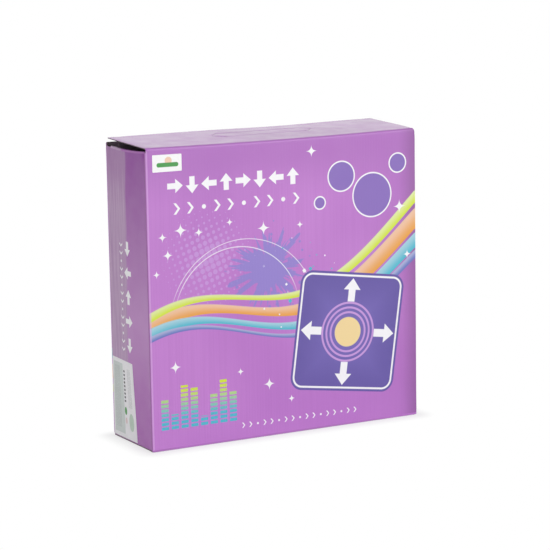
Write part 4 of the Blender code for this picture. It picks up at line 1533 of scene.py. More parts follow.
def makeHandFlap():
    middle = lidSet["handMiddle"]
    end = lidSet["handCreaseEnd"]
    start = middle - lidSet["handHalfWidth"] - lidSet["slit"]
    half = lidSet["handHalfLength"]
    shoulder = half - lidSet["handPoint"]
    wide = half - (middle - end) / handSlope
    marks = bothSides(shoulder, wide)

    def lowAt(u):
        return max(end, middle - handSpan(u, 0.0))

    def highAt(u):
        return middle + handSpan(u, 0.0)

    makePanel(
        "handFlap", "carry_hole_flap", "printed_board",
        stations(-half, half, lidSet["handStep"], marks), [(lowAt, highAt)],
        rowPlan(lidSet["handRows"]), lidPlace, lambda point: point.y > end + touch,
        boardMaterials("lid"), body="hand_flap",
    )

    def crease(u, v, t):
        share = (v - start) / (end - start)
        place = lidPlace(u * (1 + (wide / shoulder - 1) * share), v, t)
        return place + lidDown * (0.25 * mm * (1 - abs(2 * share - 1)) * (1 - 2 * t / board))

    makeCrease(
        "handCrease", stations(-shoulder, shoulder, lidSet["handStep"]), crease, crease,
        lambda point: abs(point.x) > shoulder - touch, boardMaterials("lid"),
        lidPlace(0, start, board), lidPlace(0, end, board), (start, end), 6,
    )


makeLid()
makeTuck()
makeHandFlap()
print("lid made")

# Dust flaps under the lid
dustSet = {
    "length": 62.0 * mm,
    "slope": math.radians(30),
    "corner": 6.0 * mm,
    "leftRise": -18.0,
    "rightRise": 1.1,
    "sagReach": 18 * mm,
    "step": 6 * mm,
    "rows": 8,
    "fluteRows": 6,
    "tipWide": 0.6,
    "tipFall": 0.16,
}


def makeDustFlap(name, side, wallPlace):
    length, radius = dustSet["length"], dustSet["corner"]
    taper = math.tan(dustSet["slope"])
    rise = math.radians(dustSet[name + "Rise"])
    front, back = sides[name]["front"], sides[name]["back"]
    hinge = jointPlace[f"dust_{name}_fold"]
    way = Vector((-side * math.cos(rise), 0, math.sin(rise)))
    down = Vector((-side * math.sin(rise), 0, -math.cos(rise)))
    inWall = Vector((-side, 0, 0))
    tip = front + (length - bend) * taper

    def place(u, v, t):
        along = v + mitre(v, t, 0.0, 1)
        sag = leftSag(side * u) if side < 0 else 0.0
        root = Vector((hinge.x, side * u, hinge.z + sag * ramp(v, dustSet["sagReach"], 0.0)))
        return root + way * along + down * t

    def highAt(u):
        y = side * u
        high = min(length, bend + (y - front) / taper + 0.2 * mm)
        fromBack = back - y
        if fromBack < radius:
            high = min(high, length - radius + roundEdge(radius, radius - fromBack))
        over = abs(y - tip)
        if over < dustSet["tipWide"] * radius:
            share = 1 - over / (dustSet["tipWide"] * radius)
            high -= dustSet["tipFall"] * radius * share ** 2
        return high

    marks = [side * tip + radius * share for share in (-0.6, -0.4, -0.2, 0.0, 0.2, 0.4, 0.6)]
    marks += [side * (back - radius * share) for share in (1.0, 0.8, 0.6, 0.4, 0.25, 0.14, 0.06)]
    low, high = sorted((side * front, side * back))
    makePanel(
        f"dustBoard.{name}", f"dust_flap_{name}", "board_liner",
        stations(low, high, dustSet["step"], marks), [(lambda u: bend, highAt)],
        rowPlan(dustSet["rows"]), place, lambda point: point.y > bend + touch,
        boardMaterials("side"), body=f"dust_{name}", fluteRows=rowPlan(dustSet["fluteRows"]),
    )

    def crease(u, v, t):
        sag = leftSag(side * u) if side < 0 else 0.0
        centre = meeting(Vector((hinge.x, side * u, hinge.z + sag)), inWall, down, t)
        start = wallPlace(u, hinge.z - bend, t)
        return creasePoint(start, centre, place(u, bend, t), v / bend, t)

    def squareCrease(u, v, t):
        # Without the sag and the droop, so that both ends of the crease follow their boards
        root = Vector((hinge.x, side * u, hinge.z))
        start = root + inWall * t - Vector((0, 0, bend + t))
        end = root + inWall * (bend + t) - Vector((0, 0, t))
        centre = root + inWall * t - Vector((0, 0, t))
        return creasePoint(start, centre, end, v / bend, t)

    makeCrease(
        f"dustCrease.{name}", stations(low, high, dustSet["step"]), squareCrease, crease,
        lambda point: not low + 2 * touch < point.x < high - 2 * touch,
        boardMaterials("side"),
        Vector((hinge.x, 0, hinge.z - bend)), Vector((hinge.x - side * bend, 0, hinge.z)),
        rows=dustSet["rows"],
    )


makeDustFlap("left", -1, leftPlace)
makeDustFlap("right", 1, rightPlace)
print("dust flaps made")

# The mat, folded in thirds across and then in thirds along
matSet = {
    "layers": {
        "mat_top_cover": 0.7 * mm,
        "upper_contact_sheet": 0.4 * mm,
        "spacer_foam": 1.5 * mm,
        "lower_contact_sheet": 0.4 * mm,
        "foam_core": 2.6 * mm,
        "base_cover": 0.7 * mm,
    },
    "between": 0.3 * mm,
    "plyGap": 1.0 * mm,
    "packGap": 2.6 * mm,
    "binding": 1.0 * mm,
    "step": 13.0 * mm,
    "plySteps": 10,
    "packSteps": 14,
    "wave": 1.5 * mm,
    "waveSize": 75 * mm,
    "ground": tint(70, 52, 120),
    "groundDeep": tint(52, 38, 98),
    "padPink": tint(214, 96, 176),
    "padTeal": tint(64, 176, 200),
    "padHalf": 128.0,
    "padPitch": (306.0, 276.0),
    "padArrow": 72.0,
    "padRing": 62.0,
    "border": 14.0,
    "tapeSteps": 9,
    "restsOn": ["bottom_dust_flap_left", "bottom_dust_flap_right"],
}
bundleLow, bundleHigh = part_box("edge_binding")
plyDepth = sum(matSet["layers"].values()) + matSet["between"] * (len(matSet["layers"]) - 1)
plyPitch = plyDepth + matSet["plyGap"]
plyBend = plyDepth + matSet["plyGap"] / 2
packDepth = 3 * plyDepth + 2 * matSet["plyGap"]
packPitch = packDepth + matSet["packGap"]
packBend = packDepth + matSet["packGap"] / 2
plyRun = bundleHigh.x - bundleLow.x - 2 * plyBend
packRun = bundleHigh.z - bundleLow.z - 2 * packBend
matWide = 3 * plyRun + math.pi * plyPitch + 2 * plyBend
matTall = 3 * packRun + math.pi * packPitch + 2 * packBend
matMiddle = (matWide / 2 - plyBend, matTall / 2 - packBend)


def foldThirds(distance, offset, run, depth, gap):
    # Place along a folded strip from its middle, and across the stack of its thirds
    pitch = depth + gap
    length = math.pi * pitch / 2
    leg = 0
    while leg < 2 and distance > run + length:
        distance -= run + length
        leg += 1
    forward = -1 if leg == 1 else 1
    inward = depth - offset if leg == 1 else offset
    if distance <= run or leg == 2:
        return forward * (distance - run / 2), leg * pitch + inward
    centre = leg * pitch + depth + gap / 2
    radius = depth + gap / 2 - inward
    angle = (distance - run) / (pitch / 2)
    return forward * (run / 2 + radius * math.sin(angle)), centre - radius * math.cos(angle)


def foldedPlace(across, along, offset):
    x, depth = foldThirds(across, offset, plyRun, plyDepth, matSet["plyGap"])
    z, y = foldThirds(along, depth, packRun, packDepth, matSet["packGap"])
    point = Vector((x, bundleLow.y + y, (bundleLow.z + bundleHigh.z) / 2 + z))

    # The whole bundle waves and settles together, so its layers stay apart
    size = matSet["waveSize"]
    deep = math.sin(math.pi * min(1.0, max(0.0, y / (3 * packDepth + 2 * matSet["packGap"]))))
    sway = noise.noise(Vector((x / size, 2.0 * y / size, point.z / size)))
    drop = 0.5 + 0.5 * noise.noise(Vector((x / size + 9.0, 3.0 * y / size, 4.0)))
    point.y += matSet["wave"] * sway * deep
    point.z -= 0.7 * matSet["wave"] * drop * ramp(point.z, bundleHigh.z - 60 * mm, bundleHigh.z)
    return point


def foldPlaces(run, pitch, first, last, bends):
    # Distances along a strip, close together in its two bends
    length = math.pi * pitch / 2
    legs = max(2, round(run / matSet["step"]))
    places = [-first]
    for leg in range(3):
        start = leg * (run + length)
        places += [start + run * index / legs for index in range(legs + 1)]
        if leg < 2:
            places += [start + run + length * index / bends for index in range(1, bends)]
    return sorted(places + [3 * run + 2 * length + last])


def slabFaces(wide, tall):
    # Faces of a thin sheet: its points are column by column, first one side and then the other
    def at(column, row, side):
        return side * wide * tall + column * tall + row

    faces = []
    for column in range(wide - 1):
        for row in range(tall - 1):
            corners = [(column, row), (column + 1, row), (column + 1, row + 1), (column, row + 1)]
            faces.append([at(*place, 0) for place in corners])
            faces.append([at(*place, 1) for place in reversed(corners)])
    border = [(column, 0) for column in range(wide)]
    border += [(wide - 1, row) for row in range(1, tall)]
    border += [(column, tall - 1) for column in reversed(range(wide - 1))]
    border += [(0, row) for row in reversed(range(1, tall - 1))]
    for place, after in zip(border, border[1:] + border[:1]):
        faces.append([at(*place, 1), at(*after, 1), at(*after, 0), at(*place, 0)])
    return faces


def makeLayer(name, node, slotName, low, high, material):
    inset = matSet["binding"] + matSet["between"]
    columns = foldPlaces(plyRun, plyPitch, plyBend - inset, plyBend - inset, matSet["plySteps"])
    rows = foldPlaces(packRun, packPitch, packBend - inset, packBend - inset, matSet["packSteps"])
    flats = [(across, along, depth) for depth in (low, high) for across in columns for along in rows]
    middle = Vector((*matMiddle, 0.0))
    piece = makePiece(
        name, [foldedPlace(*flat) for flat in flats], slabFaces(len(columns), len(rows)),
        [Vector(flat) - middle for flat in flats], [material],
    )
    return standFor(piece, node, slotName)


def matPrint(place):
    # Nine square pads on a deep ground: arrows on the straight ones, rings on the corner ones
    x, _, _ = split(place)
    colour = ground(place, matSet["ground"], matSet["groundDeep"])
    dot = length(fraction(place * (0.12, 0.12, 0.0)) - cellMiddle) < 0.12
    colour = paint(colour, inks["violet"], dot * 0.6)
    half = matSet["padHalf"]
    wide, tall = matSet["padPitch"]
    for column in (-1, 0, 1):
        for row in (-1, 0, 1):
            local = motifAt(place, (column * wide, row * tall))
            away = useGroup("box", local, half, half, 16.0)
            if (column + row) % 2:
                ink = matSet["padPink"] if row else matSet["padTeal"]
                colour = paint(colour, ink, inside(away))
                local = turned(local, math.atan2(row, column) + math.pi)
                arrow = useGroup("arrow", local, matSet["padArrow"])
                colour = paint(colour, inks["white"], inside(arrow))
            else:
                ring = useGroup("ring", local, matSet["padRing"], 14.0)
                colour = paint(colour, inks["cream"], inside(ring))
            colour = paint(colour, inks["white"], inside(abs(away + 5.0) - 1.6))
    return paint(colour, matSet["groundDeep"], abs(x) > matWide / mm / 2 - matSet["border"])


def makeVinyl(name, artwork, roughness=0.38, grain=1.4, bump=0.35):
    # Coated film with a fine leathery grain
    def look(place):
        cells = addNode("TexVoronoi", {"Vector": place, "Scale": grain})
        soft = noiseAt(place, 0.05)
        rough = fromTo(soft, 0.3, 0.7, roughness - 0.06, roughness + 0.08)
        return artwork(place), rough, timesPlus(soft, 2.0, cells)

    return makeMaterial(name, look, bump, 0.12 * mm, Coat_Weight=0.25)


def contactPrint(place):
    # Clear grey film with printed silver tracks
    x, y, _ = split(abs(fraction(place * (0.04, 0.04, 0.0)) - cellMiddle))
    return paint(tint(196, 200, 204), tint(120, 124, 130), smallest(x, y) < 0.06)


def makeFoam(name, low, high, scale):
    # Open foam: pores and soft clouds
    def look(place):
        pores = addNode("TexVoronoi", {"Vector": place, "Scale": scale})
        shade = timesPlus(pores, 0.5, noiseAt(place, 0.05) * 0.5)
        return paint(low, high, fromTo(shade, 0.2, 0.7)), 0.95, pores

    return makeMaterial(name, look, 0.6, 0.4 * mm)


def gripLook(place):
    # Dark non slip backing with raised round studs
    stud = fromTo(length(fraction(place * (0.25, 0.25, 0.0)) - cellMiddle), 0.2, 0.38, 1.0, 0.0)
    fine = noiseAt(place, 1.6, 3.0)
    colour = paint(tint(44, 44, 50), tint(78, 78, 86), stud)
    return colour, fromTo(fine, 0.3, 0.7, 0.62, 0.85), timesPlus(fine, 0.2, stud)


def tapeLook(place):
    # Woven tape: ribs across it and a line of stitches along its middle
    x, y, _ = split(place)
    weave = wave(x, 0.9) * wave(y, 0.7)
    stitch = (fraction(x / 3.2) < 0.68) * (abs(y) < 0.32)
    colour = paint(tint(30, 28, 40), tint(62, 58, 76), fromTo(weave, -1.0, 1.0))
    return paint(colour, tint(150, 146, 160), stitch), 0.82, weave + stitch


def makeBinding():
    # One tube round the mat's edge, open where the film tail leaves it
    wide, deep = matSet["binding"], plyDepth
    steps = matSet["tapeSteps"]
    section = []
    for index in range(steps + 1):
        angle = math.pi * (index / steps - 0.5)
        out = wide * max(0.0, math.cos(angle)) ** 0.6
        section.append((out, deep * (0.5 + 0.5 * math.sin(angle))))
    tailLow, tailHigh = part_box("film_tail")
    leg = plyRun + math.pi * plyPitch / 2
    first = leg + plyRun / 2 - tailHigh.x - matSet["between"]
    last = leg + plyRun / 2 - tailLow.x + matSet["between"]
    left, right = -plyBend + wide, matWide - plyBend - wide
    low, high = -packBend + wide, matTall - packBend - wide
    columns = foldPlaces(plyRun, plyPitch, -left, 0.0, matSet["plySteps"])
    columns = [place for place in columns if left < place < right]
    rows = foldPlaces(packRun, packPitch, -low, 0.0, matSet["packSteps"])
    rows = [place for place in rows if low < place < high]
    path = [(place, high, 0, 1) for place in [last] + [at for at in columns if at > last]]
    path.append((right, high, 1, 1))
    path += [(right, place, 1, 0) for place in reversed(rows)]
    path.append((right, low, 1, -1))
    path += [(place, low, 0, -1) for place in reversed(columns)]
    path.append((left, low, -1, -1))
    path += [(left, place, -1, 0) for place in rows]
    path.append((left, high, -1, 1))
    path += [(place, high, 0, 1) for place in [at for at in columns if at < first] + [first]]
    points, flats = [], []
    travelled = 0.0
    for index, (across, along, outX, outY) in enumerate(path):
        if index:
            travelled += math.dist(path[index - 1][:2], (across, along))
        girth = 0.0
        for place, (out, depth) in enumerate(section):
            if place:
                girth += math.dist(section[place - 1], (out, depth))
            points.append(foldedPlace(across + outX * out, along + outY * out, depth))
            flats.append(Vector((travelled, girth - deep / 2, 0.0)))
    size = len(section)
    faces = []
    for ring in range(len(path) - 1):
        for index in range(size):
            after = (index + 1) % size
            near, far = ring * size, (ring + 1) * size
            faces.append([near + index, near + after, far + after, far + index])
    faces.append(list(range(size)))
    faces.append([(len(path) - 1) * size + index for index in reversed(range(size))])
    tape = makeMaterial("bindingTape", tapeLook, 0.6, 0.15 * mm, Sheen_Weight=0.3)
    piece = makePiece("bindingTape", points, faces, flats, [tape])
    standFor(piece, "edge_binding", "binding_tape")


def makeMat():
    contact = makeVinyl("contactFilm", contactPrint, 0.3, 0.8, 0.1)
    white = makeFoam("spacerFoam", tint(178, 178, 182), tint(214, 214, 218), 1.1)
    dark = makeFoam("coreFoam", tint(60, 60, 66), tint(92, 92, 98), 0.7)
    looks = {
        "mat_top_cover": ("topCover", "cover_film", makeVinyl("coverFilm", matPrint)),
        "upper_contact_sheet": ("upperContact", "contact_film", contact),
        "spacer_foam": ("spacerFoam", "spacer_foam", white),
        "lower_contact_sheet": ("lowerContact", "contact_film", contact),
        "foam_core": ("coreFoam", "core_foam", dark),
        "base_cover": (
            "baseCover", "grip_cover", makeMaterial("gripBacking", gripLook, 0.7, 0.35 * mm)
        ),
    }
    depth = 0.0
    for node, thickness in matSet["layers"].items():
        name, slotName, material = looks[node]
        piece = makeLayer(name, node, slotName, depth, depth + thickness, material)
        if node in ("spacer_foam", "foam_core"):
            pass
        else:
            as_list(matSet["restsOn"])
        depth += thickness + matSet["between"]
    makeBinding()


makeMat()
print("mat made")

# The housing on the mat's edge, its film tail, and the leaflet and disc that come with the mat
contentsSet = {
    "tailThick": 0.4 * mm,
    "tailBend": 1.2 * mm,
    "tailPitch": 2.5,
    "leafThick": 0.12 * mm,
    "leafGap": 0.12 * mm,
    "sleeveWall": 0.3 * mm,
    "sleevePinch": 0.7 * mm,
    "notch": 10.0 * mm,
    "turnSteps": 8,
    "plastic": tint(38, 38, 43),
    "plasticPale": tint(54, 54, 60),
    "scuff": tint(92, 92, 98),
    "mask": tint(20, 84, 52),
    "maskPale": tint(46, 128, 78),
    "gold": tint(214, 178, 96),
    "trackPitch": 1.7,
    "padPitch": 2.54,
    "pinPitch": 0.8,
    "cream": tint(222, 214, 196),
    "steel": tint(150, 151, 156),
    "steelPale": tint(196, 197, 202),
    "silver": tint(206, 208, 214),
    "silverDeep": tint(168, 172, 182),
    "hub": tint(214, 218, 222),
    "page": tint(244, 243, 240),
    "line": tint(150, 150, 158),
    "linePitch": 4.5,
    "coverPads": (70.0, 228.0),
    "discArrows": ((-36.0, 0.0), (36.0, 0.0), (0.0, 38.0), (0.0, -38.0)),
    "discData": (21.0, 58.5),
}


def makeFinish(name, look, bump, depth, **plain):
    return makeMaterial(name, look, bump, depth, False, **plain)


def fromMiddle(place, name):
    # Place from the middle of a node, and the node's half size, in millimetres
    low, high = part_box(name)
    return place - tuple((low + high) / 2 / mm), (high - low) / mm / 2


def housingLook(place):
    # Spark textured plastic with scuffs, a moulded groove and an arrow mark on its top
    fine = noiseAt(place, 1.8, 2.0, 0.6)
    broad = noiseAt(place, 0.05, 2.0)
    colour = paint(contentsSet["plastic"], contentsSet["plasticPale"], fromTo(broad, 0.3, 0.7))
    scuff = fromTo(noiseAt(place * (0.06, 0.8, 0.8), 1.0, 3.0), 0.62, 0.74, 0.0, 0.35)
    colour = paint(colour, contentsSet["scuff"], scuff)
    local, half = fromMiddle(place, "housing_cover")
    away = useGroup("box", local, half.x - 6, half.y - 6, 4.0)
    onTop = split(local)[2] > half.z - 0.6
    groove = inside(abs(away) - 0.35, 0.2)
    mark = inside(useGroup("arrow", turned(local, -math.pi / 2), 8.0), 0.15) * onTop
    colour = paint(colour, contentsSet["scuff"], mark)
    return colour, fromTo(fine, 0.3, 0.7, 0.5, 0.68), fine - groove * onTop * 2.5, 0.0


def trackLines(along, across, seed):
    # Straight copper tracks, each with its own start and end
    turn = across / contentsSet["trackPitch"]
    pick = addNode("TexWhiteNoise", {"Vector": together(floor(turn), seed)}, noise_dimensions="2D")
    line = abs(fraction(turn) - 0.5)
    return (line < 0.17) * (fraction(timesPlus(along, 0.022, pick * 7.0)) < 0.45)


def circuitLook(place):
    # Solder mask over tracks, with bare gold pads
    x, y, _ = split(place)
    track = largest(trackLines(x, y, 1.0), trackLines(y, x, 2.0))
    colour = paint(contentsSet["mask"], contentsSet["maskPale"], track)
    cells = place * (1 / contentsSet["padPitch"], 1 / contentsSet["padPitch"], 0.0)
    pad = (length(fraction(cells) - cellMiddle) < 0.27) * (noiseAt(floor(cells), 0.31, 1.0) > 0.55)
    colour = paint(colour, contentsSet["gold"], pad)
    rough = timesPlus(pad, -0.1, fromTo(noiseAt(place, 0.6, 2.0), 0.3, 0.7, 0.3, 0.45))
    return colour, rough, track + pad, pad * 0.9


def chipLook(place):
    # Dark resin with a dot beside the first of its tinned pins
    local, half = fromMiddle(place, "controller_chip")
    _, _, z = split(local)
    fine = noiseAt(place, 5.0, 3.0)
    colour = paint(tint(34, 34, 38), tint(50, 50, 55), fromTo(fine, 0.35, 0.65))
    dot = inside(useGroup("ring", motifAt(local, (1.6 - half.x, half.y - 1.6)), 0.3, 0.6), 0.05)
    colour = paint(colour, tint(120, 120, 126), dot)
    sides = split(abs(local))
    pins = 0.0
    for outward, along in ((0, 1), (1, 0)):
        cell = fraction(sides[along] / contentsSet["pinPitch"])
        pins = largest(pins, (cell < 0.5) * (sides[outward] > half[outward] - 0.25))
    pins = pins * (z < 0.2)
    colour = paint(colour, contentsSet["steelPale"], pins)
    return colour, fromTo(fine, 0.3, 0.7, 0.45, 0.65), fine, pins * 0.9


def socketLook(place):
    # Cream plastic with a slot for each track
    local, half = fromMiddle(place, "tail_connector")
    x, y, _ = split(local)
    fine = noiseAt(place, 1.5, 2.0)
    slots = abs(fraction(x / contentsSet["tailPitch"]) - 0.5) < 0.2
    slots = slots * (abs(y) < half.y - 1)
    colour = paint(contentsSet["cream"], tint(196, 186, 164), fromTo(fine, 0.3, 0.7))
    colour = paint(colour, tint(96, 90, 80), slots)
    return colour, fromTo(fine, 0.3, 0.7, 0.38, 0.5), fine * 0.3 - slots, 0.0


def rubberLook(place):
    fine = noiseAt(place, 2.6, 3.0, 0.65)
    dust = fromTo(noiseAt(place, 0.3, 3.0), 0.5, 0.75, 0.0, 0.4)
    colour = paint(tint(30, 30, 33), tint(70, 69, 72), dust)
    return colour, fromTo(fine, 0.3, 0.7, 0.7, 0.88), fine, 0.0


def steelLook(place):
    # Turned steel, a little dull in patches
    fine = noiseAt(place * (1.0, 1.0, 6.0), 1.6, 3.0)
    dull = noiseAt(place, 0.7, 2.0)
    colour = paint(contentsSet["steel"], contentsSet["steelPale"], fromTo(dull, 0.3, 0.7))
    return colour, fromTo(dull, 0.3, 0.7, 0.46, 0.28), fine, 1.0


def discLook(place):
    # Printed on the side to the front wall, silver on the other, with a clear hub and rim
    local, _ = fromMiddle(place, "software_disc")
    x, y, z = split(local)
    flat = together(x, z)
    radius = length(flat)
    band = noiseAt(together(radius, 0.0), 0.5, 2.0)
    silver = paint(contentsSet["silver"], contentsSet["silverDeep"], fromTo(band, 0.3, 0.7))
    printed = paint(inks["violet"], inks["orchid"], fromTo(z, -50.0, 50.0))
    for centre in contentsSet["discArrows"]:
        arrow = motifAt(flat, centre, math.degrees(math.atan2(centre[1], centre[0])))
        printed = paint(printed, inks["white"], inside(useGroup("arrow", arrow, 9.0)))
    front = y < 0.0
    colour = paint(silver, printed, front)
    low, high = contentsSet["discData"]
    data = (radius > low) * (radius < high)
    colour = paint(contentsSet["hub"], colour, data)
    height = timesPlus(abs(radius - 17.0) < 0.6, 4.0, wave(radius, 1.1) * 0.1)
    bare = data * (1.0 - front)
    return colour, timesPlus(bare, -0.16, fromTo(band, 0.3, 0.7, 0.34, 0.42)), height, bare * 0.95


def setFinishes():
    rubber = makeFinish("glandRubber", rubberLook, 0.3, 0.08 * mm)
    steel = makeFinish("screwSteel", steelLook, 0.15, 0.03 * mm)
    plastic = makeFinish("housingPlastic", housingLook, 0.35, 0.12 * mm)
    finishes = {
        "housing_base": plastic,
        "housing_cover": plastic,
        "circuit_board": makeFinish("solderMask", circuitLook, 0.3, 0.05 * mm, Coat_Weight=0.3),
        "controller_chip": makeFinish("chipResin", chipLook, 0.2, 0.03 * mm),
        "tail_connector": makeFinish("socketPlastic", socketLook, 0.4, 0.15 * mm),
        "cable_gland": rubber,
        "software_disc": makeFinish("discPrint", discLook, 0.2, 0.05 * mm, Coat_Weight=0.5),
    }
    for number in range(1, 5):
        finishes[f"housing_screw_{number}"] = steel
    for name, material in finishes.items():
        for slot in frame["nodes"][name].material_slots:
            slot.material = material


def turnPoints(centre, radius, start, end):
    # Points round part of a circle, by angles in degrees
    steps = contentsSet["turnSteps"]
    angles = [math.radians(start + (end - start) * index / steps) for index in range(steps + 1)]
    return [
        (centre[0] + radius * math.cos(turn), centre[1] + radius * math.sin(turn))
        for turn in angles
    ]


def makeStrips(name, node, slotName, thickness, strips, place, papers):
    # Thin sheets, each along a path, from the low to the high end of its span
    points, flats, faces, slots = [], [], [], []
    for slot, (path, span, shares) in enumerate(strips):
        start = len(points)
        travelled = [0.0]
        for before, after in zip(path, path[1:]):
            travelled.append(travelled[-1] + math.dist(before, after))
        for side in (-0.5, 0.5):
            for index, (a, b) in enumerate(path):
                before, after = path[max(0, index - 1)], path[min(len(path) - 1, index + 1)]
                way = Vector((after[0] - before[0], after[1] - before[1])).normalized()
                low, high = span(a, b)
                for share in shares:
                    across = low + (high - low) * share
                    points.append(
                        place(a - way.y * thickness * side, b + way.x * thickness * side, across)
                    )
                    flats.append(Vector((travelled[index], across, side * mm)))
        sheet = slabFaces(len(path), len(shares))
        faces += [[start + index for index in corners] for corners in sheet]
        slots += [slot] * len(sheet)
    piece = makePiece(name, points, faces, flats, papers, slots)
    return standFor(piece, node, slotName), travelled[-1]


def tailPrint(place):
    # Carbon tracks along clear film
    track = abs(fraction(split(place)[1] / contentsSet["tailPitch"]) - 0.5) < 0.2
    return paint(tint(206, 210, 214), tint(70, 72, 78), track)


def makeTail():
    low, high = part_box("film_tail")
    thick, radius = contentsSet["tailThick"], contentsSet["tailBend"]
    y, z = high.y - thick / 2, high.z - thick / 2
    path = [(y, low.z)] + turnPoints((y - radius, z - radius), radius, 0, 90) + [(low.y, z)]
    piece, length = makeStrips(
        "filmTail", "film_tail", "contact_film", thick,
        [(path, lambda a, b: (low.x, high.x), [index / 8 for index in range(9)])],
        lambda a, b, across: Vector((across, a, b)), [makeVinyl("tailFilm", tailPrint, 0.3, 0.8, 0.1)],
    )


def pagePrint(place):
    # Ruled lines between margins
    x, y, _ = split(place)
    block = inside(useGroup("box", together(x % 148.0 - 74.0, y - 111.0), 60.0, 92.0, 1.0))
    mask = ruledLines(together(y, x), contentsSet["linePitch"], 0.16) * block
    return paint(contentsSet["page"], contentsSet["line"], mask * 0.8)


def coverPrint(place):
    # A plain printed cover outside, ruled pages within
    _, y, z = split(place)
    cover = paint(inks["violetDeep"], inks["orchid"], fromTo(y, 20.0, 200.0))
    for middle in contentsSet["coverPads"]:
        cover = stepPad(place, cover, (middle, 92.0), 42.0, 0.0)
        cover = arrowRow(place, cover, (middle - 52.0, 178.0), 26.0, 4, 9.0)
    return paint(pagePrint(place), cover, fromTo(z, -0.1, 0.1))


def makeLeaflet():
    low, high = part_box("instruction_leaflet")
    thick, gap = contentsSet["leafThick"], contentsSet["leafGap"]
    middle = (low.y + high.y) / 2
    shares = [index / 12 for index in range(13)]
    strips = []
    for leaf in range(2):
        into = leaf * (thick + gap)
        radius = (high.y - low.y - thick) / 2 - into
        spine = (low.x + thick / 2 + into + radius, middle)
        edge = high.x - 2 * into
        path = [(edge, middle - radius)] + turnPoints(spine, radius, 270, 90)
        path.append((edge, middle + radius))
        strips.append((path, lambda a, b: (low.z, high.z), shares))
    papers = [
        makeLabelPaper("leafletCover", coverPrint, 0.42, 0.08),
        makeLabelPaper("leafletPages", pagePrint, 0.6, 0.08),
    ]
    makeStrips(
        "leafletSheets", "instruction_leaflet", "leaflet_paper", thick, strips,
        lambda a, b, across: Vector((a, b, across)), papers,
    )


def sleevePrint(place):
    # Plain white, with a faint line where the sides are glued
    seam = fromTo(abs(split(place)[1] - 12.0), 0.2, 0.6, 0.5, 0.0)
    return paint(tint(240, 239, 236), tint(206, 204, 200), seam)


def makeSleeve():
    # A flat paper pouch: open at the top, with a thumb notch in its front, and folded shut below
    low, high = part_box("disc_sleeve")
    wall, notch, pinch = contentsSet["sleeveWall"], contentsSet["notch"], contentsSet["sleevePinch"]
    middle = (low + high) / 2
    radius = (high.y - low.y - wall) / 2
    left, right = low.x + wall / 2 + radius, high.x - wall / 2 - radius
    front, rear = middle.y - radius, middle.y + radius
    path = [(middle.x, rear)] + turnPoints((left, middle.y), radius, 90, 270)
    path += [(middle.x - notch * math.cos(math.radians(turn)), front) for turn in range(0, 181, 12)]
    path += turnPoints((right, middle.y), radius, 270, 450) + [(middle.x + 0.2 * mm, rear)]

    def span(a, b):
        return low.z, high.z - (roundEdge(notch, a - middle.x) if b < middle.y else 0.0)

    def place(a, b, across):
        gape = 0.15 + 0.85 * ramp(across, low.z, low.z + pinch)
        return Vector((a, middle.y + (b - middle.y) * gape, across))

    shares = [pinch * part / (high.z - low.z) for part in (0.0, 0.25, 0.5, 0.75, 1.0)]
    shares += [0.1, 0.25, 0.4, 0.55, 0.7, 0.85, 1.0]
    makeStrips(
        "discSleeve", "disc_sleeve", "leaflet_paper", wall, [(path, span, shares)], place,
        [makeLabelPaper("sleevePaper", sleevePrint, 0.6, 0.12)],
    )


setFinishes()
makeTail()
makeLeaflet()
makeSleeve()
print("contents made")

# Stage: a pale floor that keeps the shadow, a white surround and soft lamps
stageSet = {
    "floorSize": 8.0,
    "floorDrop": 0.2 * mm,
    "floorColour": tint(245, 245, 245),
    "shadowReach": 24.0,
    "shadowShare": 0.3,
    "fill": 0.40,
    "keyPlace": (1.3, -2.9, 1.1),
    "keySize": 3.0,
    "keyPower": 60.0,
    "leftPlace": (-2.7, -0.6, 1.0),
    "leftSize": 1.8,
    "leftPower": 14.0,
}


def seenRays():
    # 1 for camera and glossy rays
    kinds = ("Is Camera Ray", "Is Glossy Ray")
    return largest(*(addNode("LightPath", output=kind) for kind in kinds))


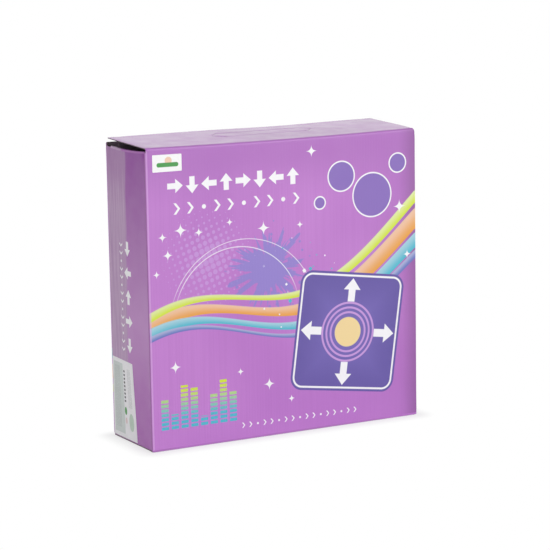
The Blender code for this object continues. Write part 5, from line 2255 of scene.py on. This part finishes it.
def makeStage():
    scene = bpy.context.scene
    scene.view_settings.view_transform = "Standard"
    world = bpy.data.worlds.new("whiteSurround")
    scene.world = world
    world.use_nodes = True
    work["tree"] = world.node_tree
    world.node_tree.nodes.clear()
    # Camera, glossy and transmission rays see plain white
    clear = addNode("LightPath", output="Is Transmission Ray")
    fill, plain = (
        addNode("Background", {"Color": (1, 1, 1, 1), "Strength": strength})
        for strength in (stageSet["fill"], 1.0)
    )
    mixed = addNode("MixShader", {0: largest(seenRays(), clear), 1: fill, 2: plain})
    feed(mixed, world.node_tree.nodes.new("ShaderNodeOutputWorld").inputs[0])

    mesh = bpy.data.meshes.new("floor")
    half = stageSet["floorSize"] / 2
    mesh.from_pydata(
        [(-half, -half, 0), (half, -half, 0), (half, half, 0), (-half, half, 0)], [], [(0, 1, 2, 3)]
    )
    floor = linkPiece("floor", mesh)
    floor.location.z = -stageSet["floorDrop"]
    material = bpy.data.materials.new("paleFloor")
    material.use_nodes = True
    work["tree"] = material.node_tree
    nodes = material.node_tree.nodes
    shader = nodes["Principled BSDF"]
    shader.inputs["Base Color"].default_value = stageSet["floorColour"]
    shader.inputs["Roughness"].default_value = 0.9
    shader.inputs["Specular IOR Level"].default_value = 0.2
    away = useGroup("box", placeHere(False), halfWidth / mm, backY / mm, 3.0)
    far = fromTo(away, 0.0, stageSet["shadowReach"], 1 - stageSet["shadowShare"], 1.0)
    glow = addNode("Emission", {"Color": (1, 1, 1, 1), "Strength": 1.0})
    mixed = addNode("MixShader", {0: seenRays() * far, 1: Value(shader.outputs[0]), 2: glow})
    feed(mixed, nodes["Material Output"].inputs["Surface"])
    mesh.materials.append(material)

    aim = Vector((0, 0, cartonTop / 2))
    for name in ("key", "left"):
        data = bpy.data.lights.new(name + "Lamp", "AREA")
        data.shape = "DISK"
        data.size = stageSet[name + "Size"]
        data.energy = stageSet[name + "Power"]
        lamp = bpy.data.objects.new(name + "Lamp", data)
        scene.collection.objects.link(lamp)
        lamp.location = stageSet[name + "Place"]
        lamp.rotation_euler = (aim - lamp.location).to_track_quat("-Z", "Y").to_euler()


makeStage()
print("stage made")
